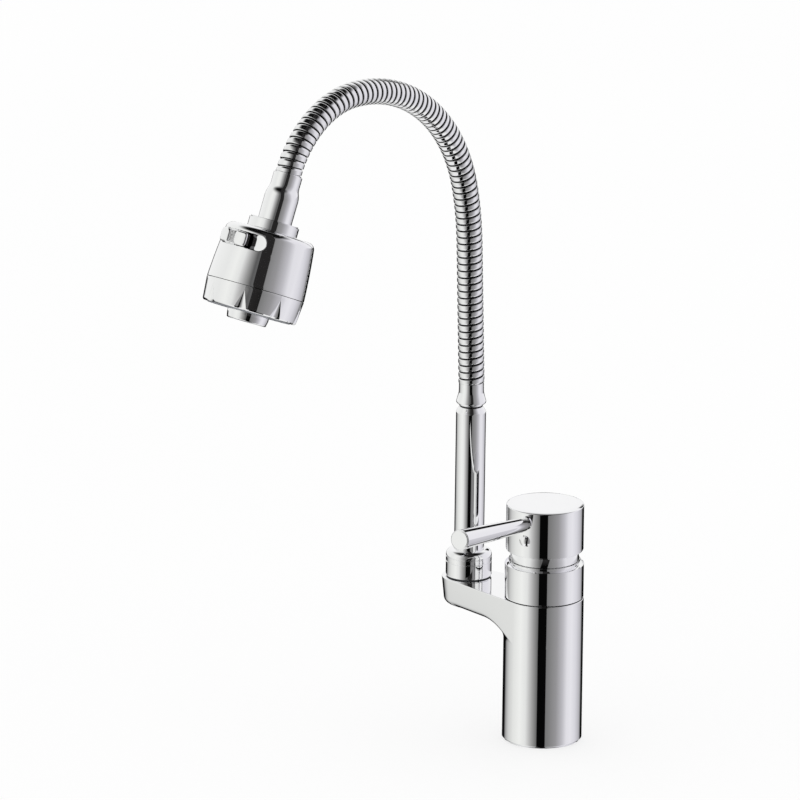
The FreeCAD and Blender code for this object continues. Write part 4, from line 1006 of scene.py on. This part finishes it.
def board(tree, seen, tone, *edges):
    """A board of a tone in front of what is seen. Each of edges is a coordinate, the two places
    between which the board lies, and how soft its edge is."""
    cover = None
    for coordinate, low, high, soft in edges:
        for start, full in ((low, low + soft), (high, high - soft)):
            edge = add(tree, "ShaderNodeMapRange", {"Value": coordinate, "From Min": start, "From Max": full})
            if cover is None:
                cover = edge.outputs[0]
            else:
                cover = add(tree, "ShaderNodeMath", {0: cover, 1: edge.outputs[0]}, operation="MULTIPLY").outputs[0]
    return mixed(tree, cover, seen, tone)


def studio(scene, right, front, strength):
    """White room for the camera and for soft light, and the studio's boards for reflections."""
    world = bpy.data.worlds.new("studio")
    world.use_nodes = True
    scene.world = world
    tree = world.node_tree
    tree.nodes.clear()
    way = add(tree, "ShaderNodeTexCoord").outputs["Generated"]
    side = add(tree, "ShaderNodeVectorMath", {0: way, 1: right}, operation="DOT_PRODUCT").outputs["Value"]
    ahead = add(tree, "ShaderNodeVectorMath", {0: way, 1: front}, operation="DOT_PRODUCT").outputs["Value"]
    turn = add(tree, "ShaderNodeMath", {0: side, 1: ahead}, operation="ARCTAN2").outputs[0]
    round_share = add(tree, "ShaderNodeMapRange", {"Value": turn, "From Min": -math.pi, "From Max": math.pi})
    height = add(tree, "ShaderNodeSeparateXYZ", {0: way}).outputs["Z"]
    seen = toned(tree, round_share.outputs[0], STUDIO_RING, -180, 180)
    wall = toned(tree, round_share.outputs[0], UPPER_RING, -180, 180)
    # the upper wall, the light floor and the dark ceiling
    for low, high, tone in ((-0.2, -0.13, wall), (-0.66, -0.82, linear("#F4F4F4")),
                            (0.58, 0.86, linear("#0E0E0E"))):
        there = add(tree, "ShaderNodeMapRange", {"Value": height, "From Min": low, "From Max": high},
                    interpolation_type="SMOOTHSTEP")
        seen = mixed(tree, there.outputs[0], seen, tone)
    # a dark board over the horizon, behind the object
    seen = board(tree, seen, linear("#101010"), (turn, 2.62, 3.0, 0.05), (height, 0.2, 0.45, 0.04))
    # a black board behind the camera, from the floor to the dark ceiling; it leans to the right and
    # is greyer above
    lean = add(tree, "ShaderNodeMapRange", {"Value": height, "From Min": -0.28, "From Max": 0.25, "To Max": -0.16})
    leaning = add(tree, "ShaderNodeMath", {0: side, 1: lean.outputs[0]}, operation="ADD").outputs[0]
    greyer = add(tree, "ShaderNodeMapRange", {"Value": height, "From Min": -0.1, "From Max": 0.15})
    black = mixed(tree, greyer.outputs[0], linear("#070707"), linear("#262525"))
    seen = board(tree, seen, black, (leaning, -0.262, 0.155, 0.015), (ahead, 0.0, 3.0, 0.04))
    rays = add(tree, "ShaderNodeLightPath")
    shown = mixed(tree, rays.outputs["Is Glossy Ray"], (1.0, 1.0, 1.0, 1.0), seen)
    light = add(tree, "ShaderNodeBackground", {"Color": shown, "Strength": strength})
    add(tree, "ShaderNodeOutputWorld", {"Surface": light.outputs[0]})


# ---- panel and registration ----
class FAUCET_PT_panel(bpy.types.Panel):
    """Lists the faucet's pieces, sizes and finishes"""
    bl_label = "Gooseneck bar faucet"
    bl_idname = "FAUCET_PT_panel"
    bl_space_type = "VIEW_3D"
    bl_region_type = "UI"
    bl_category = "Faucet"

    def draw(self, context):
        for operator in STEPS:
            self.layout.operator(operator.bl_idname)
        for group in (context.scene.faucet_sizes, context.scene.faucet_finish, context.scene.faucet_stage):
            box = self.layout.box()
            for key in group.__annotations__:
                box.prop(group, key)


STEPS = (FAUCET_OT_stage, FAUCET_OT_finishes, FAUCET_OT_body, FAUCET_OT_handle, FAUCET_OT_riser,
         FAUCET_OT_gooseneck, FAUCET_OT_barrel, FAUCET_OT_selector, FAUCET_OT_outlet)
GROUPS = (FaucetSizes, FaucetFinish, FaucetStage)


def register():
    for made in GROUPS + STEPS + (FAUCET_PT_panel,):
        bpy.utils.register_class(made)
    bpy.types.Scene.faucet_sizes = PointerProperty(type=FaucetSizes)
    bpy.types.Scene.faucet_finish = PointerProperty(type=FaucetFinish)
    bpy.types.Scene.faucet_stage = PointerProperty(type=FaucetStage)


def unregister():
    del bpy.types.Scene.faucet_sizes, bpy.types.Scene.faucet_finish, bpy.types.Scene.faucet_stage
    for made in reversed(GROUPS + STEPS + (FAUCET_PT_panel,)):
        bpy.utils.unregister_class(made)


def main():
    register()
    bpy.ops.faucet.stage()
    bpy.ops.faucet.finishes()
    bpy.ops.faucet.body()
    bpy.ops.faucet.handle()
    bpy.ops.faucet.riser()
    bpy.ops.faucet.gooseneck()
    bpy.ops.faucet.barrel()
    bpy.ops.faucet.selector()
    bpy.ops.faucet.outlet()


if __name__ == "__main__":
    main()
